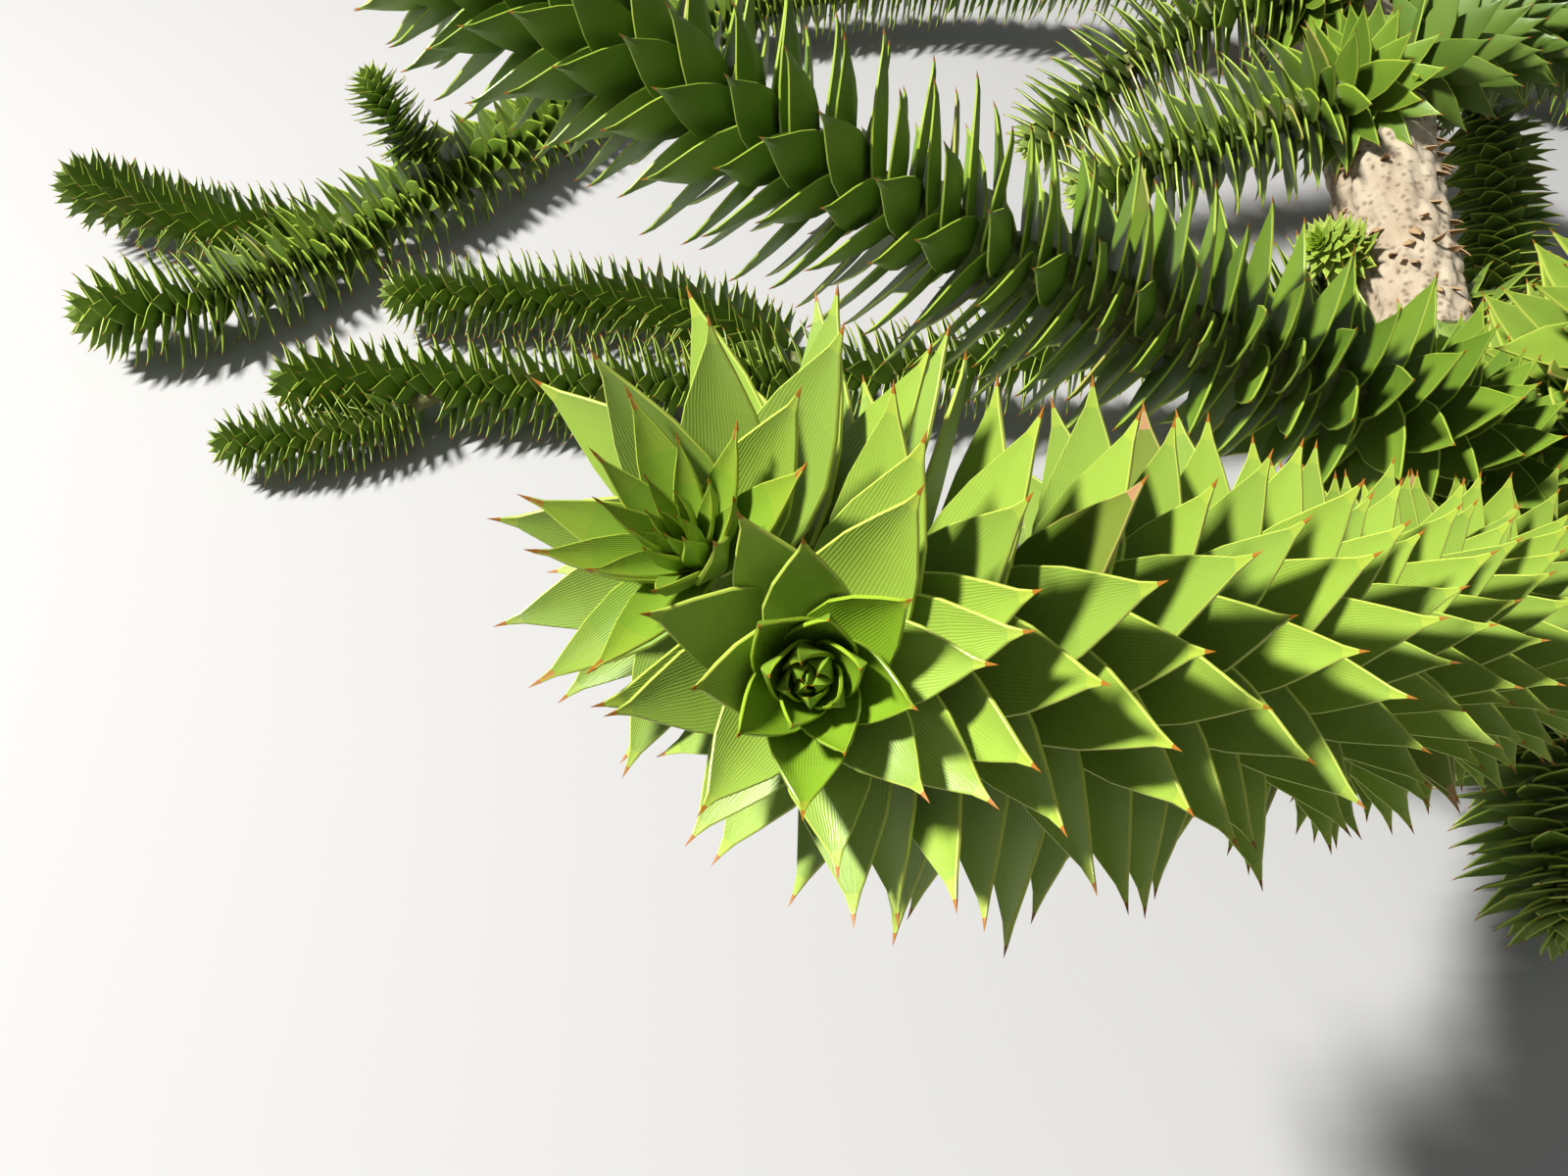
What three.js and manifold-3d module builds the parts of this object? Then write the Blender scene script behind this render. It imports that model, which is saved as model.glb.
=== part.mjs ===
// Cut bough of a monkey puzzle tree, lying on level ground.
// Millimetres, +Z up, the ground at z = 0. The bare limb runs from its sawn end at the back
// to a whorl of leafy shoots at the front, and carries more shoots along both sides.
// Every shoot is one stem with stiff pointed leaves set round it by the golden angle.

import * as THREE from "three";
import { mergeVertices } from "three/addons/utils/BufferGeometryUtils.js";
import Module from "manifold-3d";

const wasm = await Module();
wasm.setup();

// Waypoints are measured from a spot on the ground in front of the front shoot's bud. The
// bough's own origin, on the ground in the middle of its box, lies here in that frame.
const MIDDLE = new THREE.Vector3(135.5, 754.8, 1.1);

// The bare limb: where its axis runs, from the sawn end to where its leaves begin, and its taper.
const LIMB_AXIS = [
  [540, 1385, 49],
  [485, 1180, 112],
  [442, 900, 176],
  [415, 760, 172],
  [400, 600, 152],
];
const LIMB_RADIUS = { sawn: 50, leafy: 27, power: 2 };
const LIMB_MESH = { sides: 14, steps: 18 };
// The gap kept between neighbouring solids, and the size of the slivers taken off a fused one.
const CLEARANCE = 0.35;
const SLIVER = 0.05;

// Leaves of a full-grown shoot. The source's leaves are fewer and broader than the plant's.
const GOLDEN_ANGLE = Math.PI * (3 - Math.sqrt(5));
const LEAF = { length: 55, widthShare: 0.82, thickness: 4.5, widestAt: 0.38, bend: 0.1 };
const STEM = { tip: 5, base: 12.5, power: 3, sides: 3, stepLength: 80, fewestSteps: 3 };
const FRAMES_PER_STEP = 4;
// How leaves grow and open with their distance behind the bud, in millimetres and degrees.
const GROWTH = { bud: 0.28, reach: 26, bareTip: 3 };
const SPREAD = { bud: 14, full: 65, reach: 24 };
const PITCH = { full: 11, budShare: 0.4, reach: 30 };
// The thin cone that parts a shoot in two at a wide bend.
const PARTING = { reach: 80, sides: 12 };

// Each shoot: the stem that bears it, how far along that stem it starts, the points it runs
// through to its bud and its size against the full one. Where it isn't the usual, also how wide
// its leaves stand, its stem's base radius and taper, its second bud, and where it is parted.
const SHOOTS = [
  {
    name: "shoot_front",
    bearer: "limb",
    from: 1,
    through: [
      [404, 520, 146],
      [390, 430, 160],
      [300, 335, 222],
      [211, 268, 290],
      [101, 195, 380],
      [32, 162, 426],
      [9, 147, 444],
      [5, 130, 460],
    ],
    base: LIMB_RADIUS.leafy,
    power: 0.5,
    size: 1.06,
    spread: 72,
    twin: {
      from: 0.9,
      through: [
        [20, 188, 420],
        [-6, 181, 440],
        [-15, 165, 451],
        [-19, 159, 464],
      ],
      leafyShare: 0.85,
    },
  },
  {
    name: "shoot_behind",
    bearer: "shoot_front",
    from: 0.2,
    through: [
      [291, 415, 257],
      [210, 410, 299],
      [66, 433, 350],
      [-90, 499, 406],
      [-160, 530, 432],
    ],
    size: 1,
    spread: 62,
  },
  {
    name: "shoot_upright",
    bearer: "shoot_front",
    from: 0.13,
    through: [
      [388, 466, 236],
      [386, 436, 320],
      [400, 428, 404],
    ],
    size: 1,
  },
  {
    name: "shoot_low_front",
    bearer: "shoot_front",
    from: 0.16,
    through: [
      [415, 395, 82],
      [398, 262, 55],
    ],
    size: 0.9,
  },
  {
    name: "shoot_left_near",
    bearer: "limb",
    from: 0.91,
    through: [
      [210, 682, 92],
      [40, 702, 47],
      [-115, 697, 41],
      [-372, 699, 43],
    ],
    size: 0.68,
  },
  {
    name: "shoot_left_near_twig",
    bearer: "shoot_left_near",
    from: 0.84,
    through: [
      [-322, 656, 33],
      [-404, 640, 36],
    ],
    size: 0.5,
  },
  {
    name: "shoot_left_mid",
    bearer: "shoot_left_near",
    from: 0.5,
    through: [
      [-60, 772, 44],
      [-156, 806, 38],
      [-316, 811, 40],
    ],
    size: 0.62,
  },
  {
    name: "shoot_left_arch",
    bearer: "limb",
    from: 0.68,
    through: [
      [382, 788, 222],
      [300, 768, 200],
      [204, 757, 166],
    ],
    size: 0.92,
  },
  {
    name: "shoot_right_arch",
    bearer: "limb",
    from: 0.66,
    through: [
      [428, 808, 226],
      [486, 854, 224],
      [570, 890, 220],
      [712, 884, 216],
      [806, 850, 252],
    ],
    size: 0.95,
  },
  {
    name: "shoot_right_droop",
    bearer: "limb",
    from: 0.47,
    through: [
      [520, 965, 152],
      [561, 918, 131],
      [559, 847, 97],
      [549, 783, 70],
      [523, 716, 55],
    ],
    size: 0.68,
  },
  {
    name: "shoot_left_back",
    bearer: "limb",
    from: 0.21,
    through: [
      [330, 1262, 98],
      [140, 1308, 70],
      [-20, 1285, 52],
      [-155, 1180, 50],
      [-222, 1065, 47],
      [-343, 914, 46],
      [-446, 802, 46],
      [-542, 768, 52],
    ],
    size: 0.8,
    partAt: 0.37,
  },
  {
    name: "shoot_left_back_twig",
    bearer: "shoot_left_back",
    from: 0.82,
    through: [
      [-470, 890, 50],
      [-612, 942, 58],
    ],
    size: 0.62,
  },
  {
    name: "shoot_left_back_spur",
    bearer: "shoot_left_back",
    from: 0.74,
    through: [
      [-318, 955, 92],
      [-346, 978, 138],
    ],
    size: 0.5,
  },
  {
    name: "shoot_right_back",
    bearer: "limb",
    from: 0.25,
    through: [
      [640, 1190, 92],
      [790, 1130, 54],
      [872, 980, 46],
    ],
    size: 0.85,
  },
  {
    name: "shoot_right_near",
    bearer: "limb",
    from: 0.935,
    through: [
      [530, 600, 108],
      [700, 560, 50],
      [866, 500, 50],
    ],
    size: 0.86,
  },
  {
    name: "sprout",
    bearer: "limb",
    from: 0.9,
    through: [
      [360, 668, 176],
      [334, 660, 192],
    ],
    size: 0.42,
  },
  {
    name: "shoot_left_arch_back",
    bearer: "limb",
    from: 0.56,
    through: [
      [390, 935, 226],
      [304, 938, 192],
      [229, 915, 134],
      [198, 905, 112],
    ],
    size: 0.9,
  },
];

// What dresses the solids here; the finished looks are made elsewhere.
const BARK = new THREE.MeshStandardMaterial({ color: 0xb8a184, roughness: 0.9, metalness: 0 });
const LEAF_GREEN = new THREE.MeshStandardMaterial({ color: 0x6f9a2c, roughness: 0.45, metalness: 0 });
const YOUNG_GREEN = new THREE.MeshStandardMaterial({ color: 0x9cc244, roughness: 0.42, metalness: 0 });

const vector = ([x, y, z]) => new THREE.Vector3(x, y, z);
const mix = (a, b, t) => a + (b - a) * t;
const settle = (from, to, distance, reach) => mix(to, from, Math.exp(-distance / reach));

function curveThrough(points) {
  return new THREE.CatmullRomCurve3(points, false, "catmullrom", 0.5);
}

// A closed solid from a three.js geometry, with its shared corners merged.
function solidOf(geometry) {
  const bare = geometry.clone();
  for (const key of Object.keys(bare.attributes)) {
    if (key !== "position") bare.deleteAttribute(key);
  }
  const merged = mergeVertices(bare, 1e-4);
  return new wasm.Manifold(
    new wasm.Mesh({
      numProp: 3,
      vertProperties: merged.getAttribute("position").array,
      triVerts: new Uint32Array(merged.index.array),
    }),
  );
}

function geometryOf(solid) {
  const mesh = solid.getMesh();
  const geometry = new THREE.BufferGeometry();
  geometry.setAttribute("position", new THREE.BufferAttribute(mesh.vertProperties.slice(), 3));
  geometry.setIndex(new THREE.BufferAttribute(mesh.triVerts.slice(), 1));
  geometry.computeVertexNormals();
  return geometry;
}

// Frames carried along a curve without twist, and the frame at any share of its length.
function framesAlong(curve, steps) {
  const { tangents, normals } = curve.computeFrenetFrames(steps, false);
  return (share) => {
    const place = share * steps;
    const i = Math.min(Math.floor(place), steps - 1);
    const t = place - i;
    const along = tangents[i].clone().lerp(tangents[i + 1], t).normalize();
    const side = normals[i].clone().lerp(normals[i + 1], t);
    side.addScaledVector(along, -side.dot(along)).normalize();
    const up = new THREE.Vector3().crossVectors(along, side);
    return { at: curve.getPointAt(share), along, side, up };
  };
}

// A round tapering tube: a cylinder whose rings are carried along the curve. Grown, it is
// thicker by that much all round and longer by it at both ends.
function taperedTube(curve, radiusAt, sides, steps, grown = 0) {
  const frame = framesAlong(curve, steps);
  const geometry = new THREE.CylinderGeometry(1, 1, 1, sides, steps);
  const position = geometry.getAttribute("position");
  for (let i = 0; i < position.count; i += 1) {
    const share = THREE.MathUtils.clamp(0.5 - position.getY(i), 0, 1);
    const { at, along, side, up } = frame(share);
    const radius = radiusAt(share) + grown;
    const past = share === 0 ? -grown : share === 1 ? grown : 0;
    const point = at
      .clone()
      .addScaledVector(along, past)
      .addScaledVector(side, position.getX(i) * radius)
      .addScaledVector(up, position.getZ(i) * radius);
    position.setXYZ(i, point.x, point.y, point.z);
  }
  return solidOf(geometry);
}

// One pointed leaf of six faces, from its root on the stem's axis to its tip: a top that bends
// up towards the bud at the shoulders, and a keel below.
function leafSolid(root, outward, towardsBud, across, length, width) {
  const widest = LEAF.widestAt * length;
  const corners = [
    [0, 0, 0],
    [widest, 0, width / 2],
    [widest, 0, -width / 2],
    [widest, -LEAF.thickness, 0],
    [length, LEAF.bend * length, 0],
  ].map(([out, lift, sideways]) =>
    root
      .clone()
      .addScaledVector(outward, out)
      .addScaledVector(towardsBud, lift)
      .addScaledVector(across, sideways),
  );
  const topFaces = [0, 2, 1, 4, 1, 2];
  const keelFaces = [0, 1, 3, 0, 3, 2, 4, 3, 1, 4, 2, 3];
  const geometry = new THREE.BufferGeometry().setFromPoints(corners);
  geometry.setIndex([...topFaces, ...keelFaces]);
  return solidOf(geometry);
}

// The leaf whose root sits at a frame on the stem, turned round it by an angle.
function leafAt(frame, turn, spread, stemRadius, length, width) {
  const radial = frame.side
    .clone()
    .multiplyScalar(Math.cos(turn))
    .addScaledVector(frame.up, Math.sin(turn));
  const angle = THREE.MathUtils.degToRad(spread);
  const outward = frame.along
    .clone()
    .multiplyScalar(Math.cos(angle))
    .addScaledVector(radial, Math.sin(angle));
  const towardsBud = frame.along
    .clone()
    .multiplyScalar(Math.sin(angle))
    .addScaledVector(radial, -Math.cos(angle));
  const across = new THREE.Vector3().crossVectors(towardsBud, outward);
  return leafSolid(frame.at, outward, towardsBud, across, stemRadius + length, width);
}

// Where the leaves sit behind a bud: close together there, and at the full pitch further back.
function leafPlaces(length, size) {
  const places = [];
  let behind = GROWTH.bareTip * size;
  while (behind < length) {
    places.push(behind);
    behind += PITCH.full * Math.sqrt(size) * settle(PITCH.budShare, 1, behind / size, PITCH.reach);
  }
  return places;
}

const limbCurve = curveThrough(LIMB_AXIS.map(vector));
const limbRadius = (share) => mix(LIMB_RADIUS.sawn, LIMB_RADIUS.leafy, share ** LIMB_RADIUS.power);
const limb = taperedTube(limbCurve, limbRadius, LIMB_MESH.sides, LIMB_MESH.steps);
const limbGrown = taperedTube(limbCurve, limbRadius, LIMB_MESH.sides, LIMB_MESH.steps, CLEARANCE);

const curves = new Map([["limb", limbCurve]]);

// A stem through the given points, and the same stem grown by the clearance for cutting others.
function stemThrough(points, base, power, size) {
  const curve = curveThrough(points);
  const steps = Math.max(STEM.fewestSteps, Math.round(curve.getLength() / STEM.stepLength));
  const radiusAt = (share) => mix(base, STEM.tip * size, share ** power);
  return {
    curve,
    steps,
    radiusAt,
    solid: taperedTube(curve, radiusAt, STEM.sides, steps),
    grown: taperedTube(curve, radiusAt, STEM.sides, steps, CLEARANCE),
  };
}

function stemOf(shoot) {
  const start = curves.get(shoot.bearer).getPointAt(shoot.from);
  const points = [start, ...shoot.through.map(vector)];
  const base = shoot.base ?? STEM.base * shoot.size;
  const stem = stemThrough(points, base, shoot.power ?? STEM.power, shoot.size);
  curves.set(shoot.name, stem.curve);
  return stem;
}

// The front shoot's second bud stands on a short stem of its own, fused to the first.
function twinStem(shoot, stem) {
  const start = stem.curve.getPointAt(shoot.twin.from);
  const points = [start, ...shoot.twin.through.map(vector)];
  return stemThrough(points, stem.radiusAt(shoot.twin.from), 1, shoot.size);
}

function leavesOn(stem, shoot, reach, firstTurn) {
  const frame = framesAlong(stem.curve, stem.steps * FRAMES_PER_STEP);
  const length = stem.curve.getLength();
  return leafPlaces(reach, shoot.size).map((behind, i) => {
    const share = 1 - behind / length;
    const age = behind / shoot.size;
    const leafLength = LEAF.length * shoot.size * settle(GROWTH.bud, 1, age, GROWTH.reach);
    const spread = settle(SPREAD.bud, shoot.spread ?? SPREAD.full, age, SPREAD.reach);
    const turn = firstTurn + i * GOLDEN_ANGLE;
    const width = leafLength * LEAF.widthShare;
    return leafAt(frame(share), turn, spread, stem.radiusAt(share), leafLength, width);
  });
}

const meets = (a, b) => !a.intersect(b).isEmpty();
const clearOf = (others) => (leaf) =>
  leaf.boundingBox().min[2] > 0 && !others.some((other) => meets(leaf, other));

function largestBody(solid) {
  return solid.decompose().reduce((a, b) => (b.volume() > a.volume() ? b : a));
}

// The two pieces that a gap parts a solid into, the one nearer a point first.
function partedAt(solid, gap, point) {
  const distance = (body) => {
    const { min, max } = body.boundingBox();
    return new THREE.Box3(vector(min), vector(max)).distanceToPoint(point);
  };
  const bodies = solid.subtract(gap).decompose();
  return bodies
    .sort((a, b) => b.volume() - a.volume())
    .slice(0, 2)
    .sort((a, b) => distance(a) - distance(b));
}

// A shoot that bends round a wide gap is parted at the bend by a thin cone-shaped gap, which
// opens towards the bud as its leaves do.
function partingGap(stem, share) {
  const rise = PARTING.reach / Math.tan(THREE.MathUtils.degToRad(SPREAD.full));
  const half = CLEARANCE / 2;
  const outline = [
    new THREE.Vector2(0, -half),
    new THREE.Vector2(PARTING.reach, rise - half),
    new THREE.Vector2(PARTING.reach, rise + half),
    new THREE.Vector2(0, half),
  ];
  const geometry = new THREE.LatheGeometry(outline, PARTING.sides);
  const { at, along, side, up } = framesAlong(stem.curve, stem.steps)(share);
  const place = new THREE.Matrix4().makeBasis(side, along, up.negate()).setPosition(at);
  return solidOf(geometry.applyMatrix4(place));
}

// Each shoot keeps the leaves that clear the ground, the limb, every other stem and the shoots
// made before it, and is cut back to just clear of the stem that bears it.
const made = SHOOTS.map((shoot, order) => ({ shoot, order, stem: stemOf(shoot) }));
const built = new Map();
for (const { shoot, order, stem } of made) {
  const parts = [stem.solid];
  const leaves = leavesOn(stem, shoot, stem.curve.getLength(), order);
  if (shoot.twin) {
    const twin = twinStem(shoot, stem);
    parts.push(twin.solid);
    const reach = twin.curve.getLength() * shoot.twin.leafyShare;
    leaves.push(...leavesOn(twin, shoot, reach, order));
  }
  const waiting = made.filter((one) => one.shoot !== shoot && !built.has(one.shoot.name));
  const others = [limbGrown, ...built.values(), ...waiting.map((one) => one.stem.grown)];
  const gap = shoot.partAt && partingGap(stem, shoot.partAt);
  if (gap) others.push(gap);
  const kept = leaves.filter(clearOf(others));
  const bearer = made.find((one) => one.shoot.name === shoot.bearer);
  let solid = wasm.Manifold.union([...parts, ...kept]).subtract(limbGrown);
  if (bearer) solid = solid.subtract(bearer.stem.grown);
  solid = largestBody(solid).simplify(SLIVER);
  if (gap) {
    const [inner, outer] = partedAt(solid, gap, stem.curve.getPointAt(0));
    built.set(`${shoot.name}_root`, inner);
    built.set(shoot.name, outer);
  } else {
    built.set(shoot.name, solid);
  }
}

const bough = new THREE.Group();
bough.position.copy(MIDDLE).negate();

function addMesh(name, solid, material) {
  const mesh = new THREE.Mesh(geometryOf(solid), material);
  mesh.name = name;
  bough.add(mesh);
}

const YOUNG_SHOOTS = ["shoot_front", "sprout"];
addMesh("limb", limb, BARK);
for (const [name, solid] of built) {
  addMesh(name, solid, YOUNG_SHOOTS.includes(name) ? YOUNG_GREEN : LEAF_GREEN);
}

export default bough;
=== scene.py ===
"""Cut bough of a monkey puzzle tree, lying on a pale studio floor.

A bare limb runs from its sawn end at the back to a whorl of leafy shoots at the front, and
carries more shoots along both sides. Each shoot is one stem wrapped in stiff, sharp leaves that
follow each other round it by the golden angle, down to a closed bud.

The waypoints of the limb and the stems are those of the part's source: millimetres from a spot
on the ground in front of the front shoot. Everything built from them is in metres, in the frame
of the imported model.
"""

import logging
import math
from dataclasses import dataclass, field, replace
from enum import Enum
from typing import Optional, Sequence, Union

import bpy
import numpy as np
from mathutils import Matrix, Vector
from mathutils.bvhtree import BVHTree


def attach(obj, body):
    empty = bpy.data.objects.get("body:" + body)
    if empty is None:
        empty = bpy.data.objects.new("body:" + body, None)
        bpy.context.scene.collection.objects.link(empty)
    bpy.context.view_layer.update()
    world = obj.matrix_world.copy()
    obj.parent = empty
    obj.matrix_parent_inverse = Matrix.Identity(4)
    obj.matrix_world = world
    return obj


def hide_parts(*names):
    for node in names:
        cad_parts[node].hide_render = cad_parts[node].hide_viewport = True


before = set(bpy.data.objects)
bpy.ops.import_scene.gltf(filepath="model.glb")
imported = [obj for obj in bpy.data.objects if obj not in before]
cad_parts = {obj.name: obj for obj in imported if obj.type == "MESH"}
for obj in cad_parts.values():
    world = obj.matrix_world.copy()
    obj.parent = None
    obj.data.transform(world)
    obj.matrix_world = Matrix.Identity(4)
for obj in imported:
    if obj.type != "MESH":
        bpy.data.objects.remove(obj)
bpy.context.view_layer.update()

LOG = logging.getLogger("bough")
Array = np.ndarray
Point = tuple[float, float, float]
Color = tuple[float, float, float]
Number = Union[float, Array]
Node = bpy.types.Node
Socket = bpy.types.NodeSocket
Material = bpy.types.Material

MM = 0.001
MIDDLE: Point = (135.5, 754.8, 1.1)  # the waypoint at the model's origin
TURN = 2 * math.pi
GOLDEN_ANGLE = math.pi * (3 - math.sqrt(5))
FLOOR_GAP = 0.0006  # metres that a leaf keeps off the ground
GRAIN_UV = "grain"


def settle(start: float, end: float, distance: Number, reach: float, power: float) -> Number:
    """Value that leaves start and settles on end: end + (start - end) * exp(-(distance / reach)^power).

    Args:
        start: Value at no distance.
        end: Value far away.
        distance: How far along, zero or more.
        reach: Distance at which most of the way is gone.
        power: How abruptly the change begins.

    Returns:
        The value at each distance.
    """
    return end + (start - end) * np.exp(-((np.maximum(distance, 0.0) / reach) ** power))


def unit(vectors: Array) -> Array:
    """Vectors of length one: v / |v|."""
    return vectors / np.linalg.norm(vectors, axis=-1, keepdims=True)


def placed(points: Sequence[Point]) -> Array:
    """Waypoints in metres in the model's frame: (point - MIDDLE) / 1000."""
    return (np.array(points, float) - np.array(MIDDLE)) * MM


def preset(node: Node, values: dict[str, Union[float, tuple]]) -> Node:
    """Sets sockets of a node by name, and gives the node back."""
    for name, value in values.items():
        node.inputs[name].default_value = value
    return node


def linked(name: str, data: bpy.types.ID) -> bpy.types.Object:
    """New object at the origin that shows the data, in the scene."""
    obj = bpy.data.objects.new(name, data)
    bpy.context.scene.collection.objects.link(obj)
    return obj


@dataclass(frozen=True)
class Frames:
    """Places along a line, each with three axes: along the line, and two square to it."""

    at: Array
    along: Array
    side: Array
    up: Array

    def radial(self, turn: Array) -> Array:
        """Direction away from the line at an angle round it: cos(turn) * side + sin(turn) * up."""
        return np.cos(turn)[..., None] * self.side + np.sin(turn)[..., None] * self.up


class Path:
    """A smooth line through waypoints that can be asked for places by distance.

    Between two waypoints p and q the line is the cubic that leaves each of them parallel to the
    chord between its neighbours: p + l*t + (3(q-p) - 2l - a)*t^2 + (2(p-q) + l + a)*t^3, where l
    and a are half those chords.
    """

    FINE = 48  # samples from one waypoint to the next

    def __init__(self, waypoints: Array) -> None:
        """Samples the line finely and measures it.

        Args:
            waypoints: One row for each point, from the stem's foot to its bud.
        """
        ends = 2 * waypoints[[0, -1]] - waypoints[[1, -2]]
        knots = np.vstack([ends[:1], waypoints, ends[1:]])
        spans = len(waypoints) - 1
        t = np.linspace(0, 1, self.FINE, endpoint=False)[None, :, None]
        before, p, q, after = (knots[i : i + spans, None] for i in range(4))
        leave, arrive = (q - before) / 2, (after - p) / 2
        bend = 3 * (q - p) - 2 * leave - arrive
        line = p + leave * t + bend * t**2 + (2 * (p - q) + leave + arrive) * t**3
        self.line = np.vstack([line.reshape(-1, 3), waypoints[-1:]])
        gaps = np.linalg.norm(np.diff(self.line, axis=0), axis=1)
        self.reached = np.concatenate([[0.0], np.cumsum(gaps)])
        self.length = float(self.reached[-1])
        self.heading = unit(np.gradient(self.line, self.reached, axis=0))
        self.reference = np.eye(3)[np.abs(self.heading).max(axis=0).argmin()]

    def _read(self, values: Array, distance: Array) -> Array:
        """Values given along the line, read off at other distances."""
        return np.stack([np.interp(distance, self.reached, column) for column in values.T], axis=-1)

    def frames(self, distance: Array) -> Frames:
        """Places at distances from the foot: side is the reference axis made square to the line.

        Args:
            distance: Distances from the foot in metres.

        Returns:
            A frame for each distance.
        """
        along = unit(self._read(self.heading, distance))
        lean = (along @ self.reference)[..., None]
        side = unit(self.reference - lean * along)
        return Frames(self._read(self.line, distance), along, side, np.cross(along, side))

    def tube(self, distance: Array, turn: Array, radius: Array) -> tuple[Array, Array]:
        """Points round the line, ring by ring: at + r * (cos(a) * side + sin(a) * up).

        Args:
            distance: Distance of each ring from the foot.
            turn: Angles a round a ring.
            radius: Radius r at each of them, one row for each ring.

        Returns:
            The points, and the direction in which each lies from the line.
        """
        frames = self.frames(np.repeat(distance, len(turn)))
        radial = frames.radial(np.tile(turn, len(distance)))
        return frames.at + radial * radius.reshape(-1, 1), radial


@dataclass(frozen=True)
class Piece:
    """What a finished mesh tells the frame about itself."""

    name: str
    slot: str
    nodes: tuple[str, ...]

    def join_frame(self, obj: bpy.types.Object) -> None:
        """Lets the object ride on the one body, and hides the solids that it stands for."""
        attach(obj, "root")
        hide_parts(*self.nodes)
        obj.data.calc_loop_triangles()
        LOG.info("%s: %d triangles", self.name, len(obj.data.loop_triangles))


def mesh_object(
    name: str,
    vertices: Array,
    faces: Sequence[Array],
    corner_uv: Array,
    materials: Sequence[Material],
    slots: Optional[Array] = None,
    crease: float = 40.0,
) -> bpy.types.Object:
    """Mesh object at the origin from whole arrays, smooth but for edges sharper than crease.

    Args:
        name: Name of object and mesh.
        vertices: One row for each vertex, in metres.
        faces: Blocks of vertex indices, the faces of a block all with as many corners.
        corner_uv: One row for each face corner, in the order of the blocks.
        materials: What the slots hold.
        slots: Material slot of each face, all the first if left out.
        crease: Angle in degrees from which an edge shows as a corner.

    Returns:
        The new object, linked to the scene.
    """
    corners = np.concatenate([block.ravel() for block in faces])
    sizes = np.concatenate([np.full(len(block), block.shape[1]) for block in faces])
    mesh = bpy.data.meshes.new(name)
    mesh.vertices.add(len(vertices))
    mesh.vertices.foreach_set("co", vertices.astype(np.float32).ravel())
    mesh.loops.add(len(corners))
    mesh.loops.foreach_set("vertex_index", corners.astype(np.int32))
    mesh.polygons.add(len(sizes))
    mesh.polygons.foreach_set("loop_start", (np.cumsum(sizes) - sizes).astype(np.int32))
    for material in materials:
        mesh.materials.append(material)
    if slots is not None:
        mesh.polygons.foreach_set("material_index", slots.astype(np.int32))
    mesh.uv_layers.new(name=GRAIN_UV).data.foreach_set("uv", corner_uv.astype(np.float32).ravel())
    mesh.update(calc_edges=True)
    mesh.shade_smooth()
    mesh.set_sharp_from_angle(angle=math.radians(crease))
    return linked(name, mesh)


def tube_faces(rings: int, around: int) -> tuple[list[Array], Array]:
    """Faces and corner UVs of a capped tube whose vertices come ring by ring.

    Args:
        rings: How many rings it has.
        around: Vertices in a ring.

    Returns:
        Blocks of faces (walls, foot cap, far cap), and u round the tube and v along it.
    """
    i, j = np.meshgrid(np.arange(rings - 1), np.arange(around), indexing="ij")
    near, far = i * around, (i + 1) * around
    beside = (j + 1) % around
    walls = np.stack([near + j, near + beside, far + beside, far + j], -1).reshape(-1, 4)
    u = np.stack([j, j + 1, j + 1, j], -1).reshape(-1) / around
    v = np.stack([i, i, i + 1, i + 1], -1).reshape(-1) / (rings - 1)
    foot = np.arange(around)[None, ::-1]
    end = np.arange(around)[None] + (rings - 1) * around
    caps = np.concatenate([np.zeros((around, 2)), np.ones((around, 2))])
    return [walls, foot, end], np.concatenate([np.stack([u, v], -1), caps])


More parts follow.
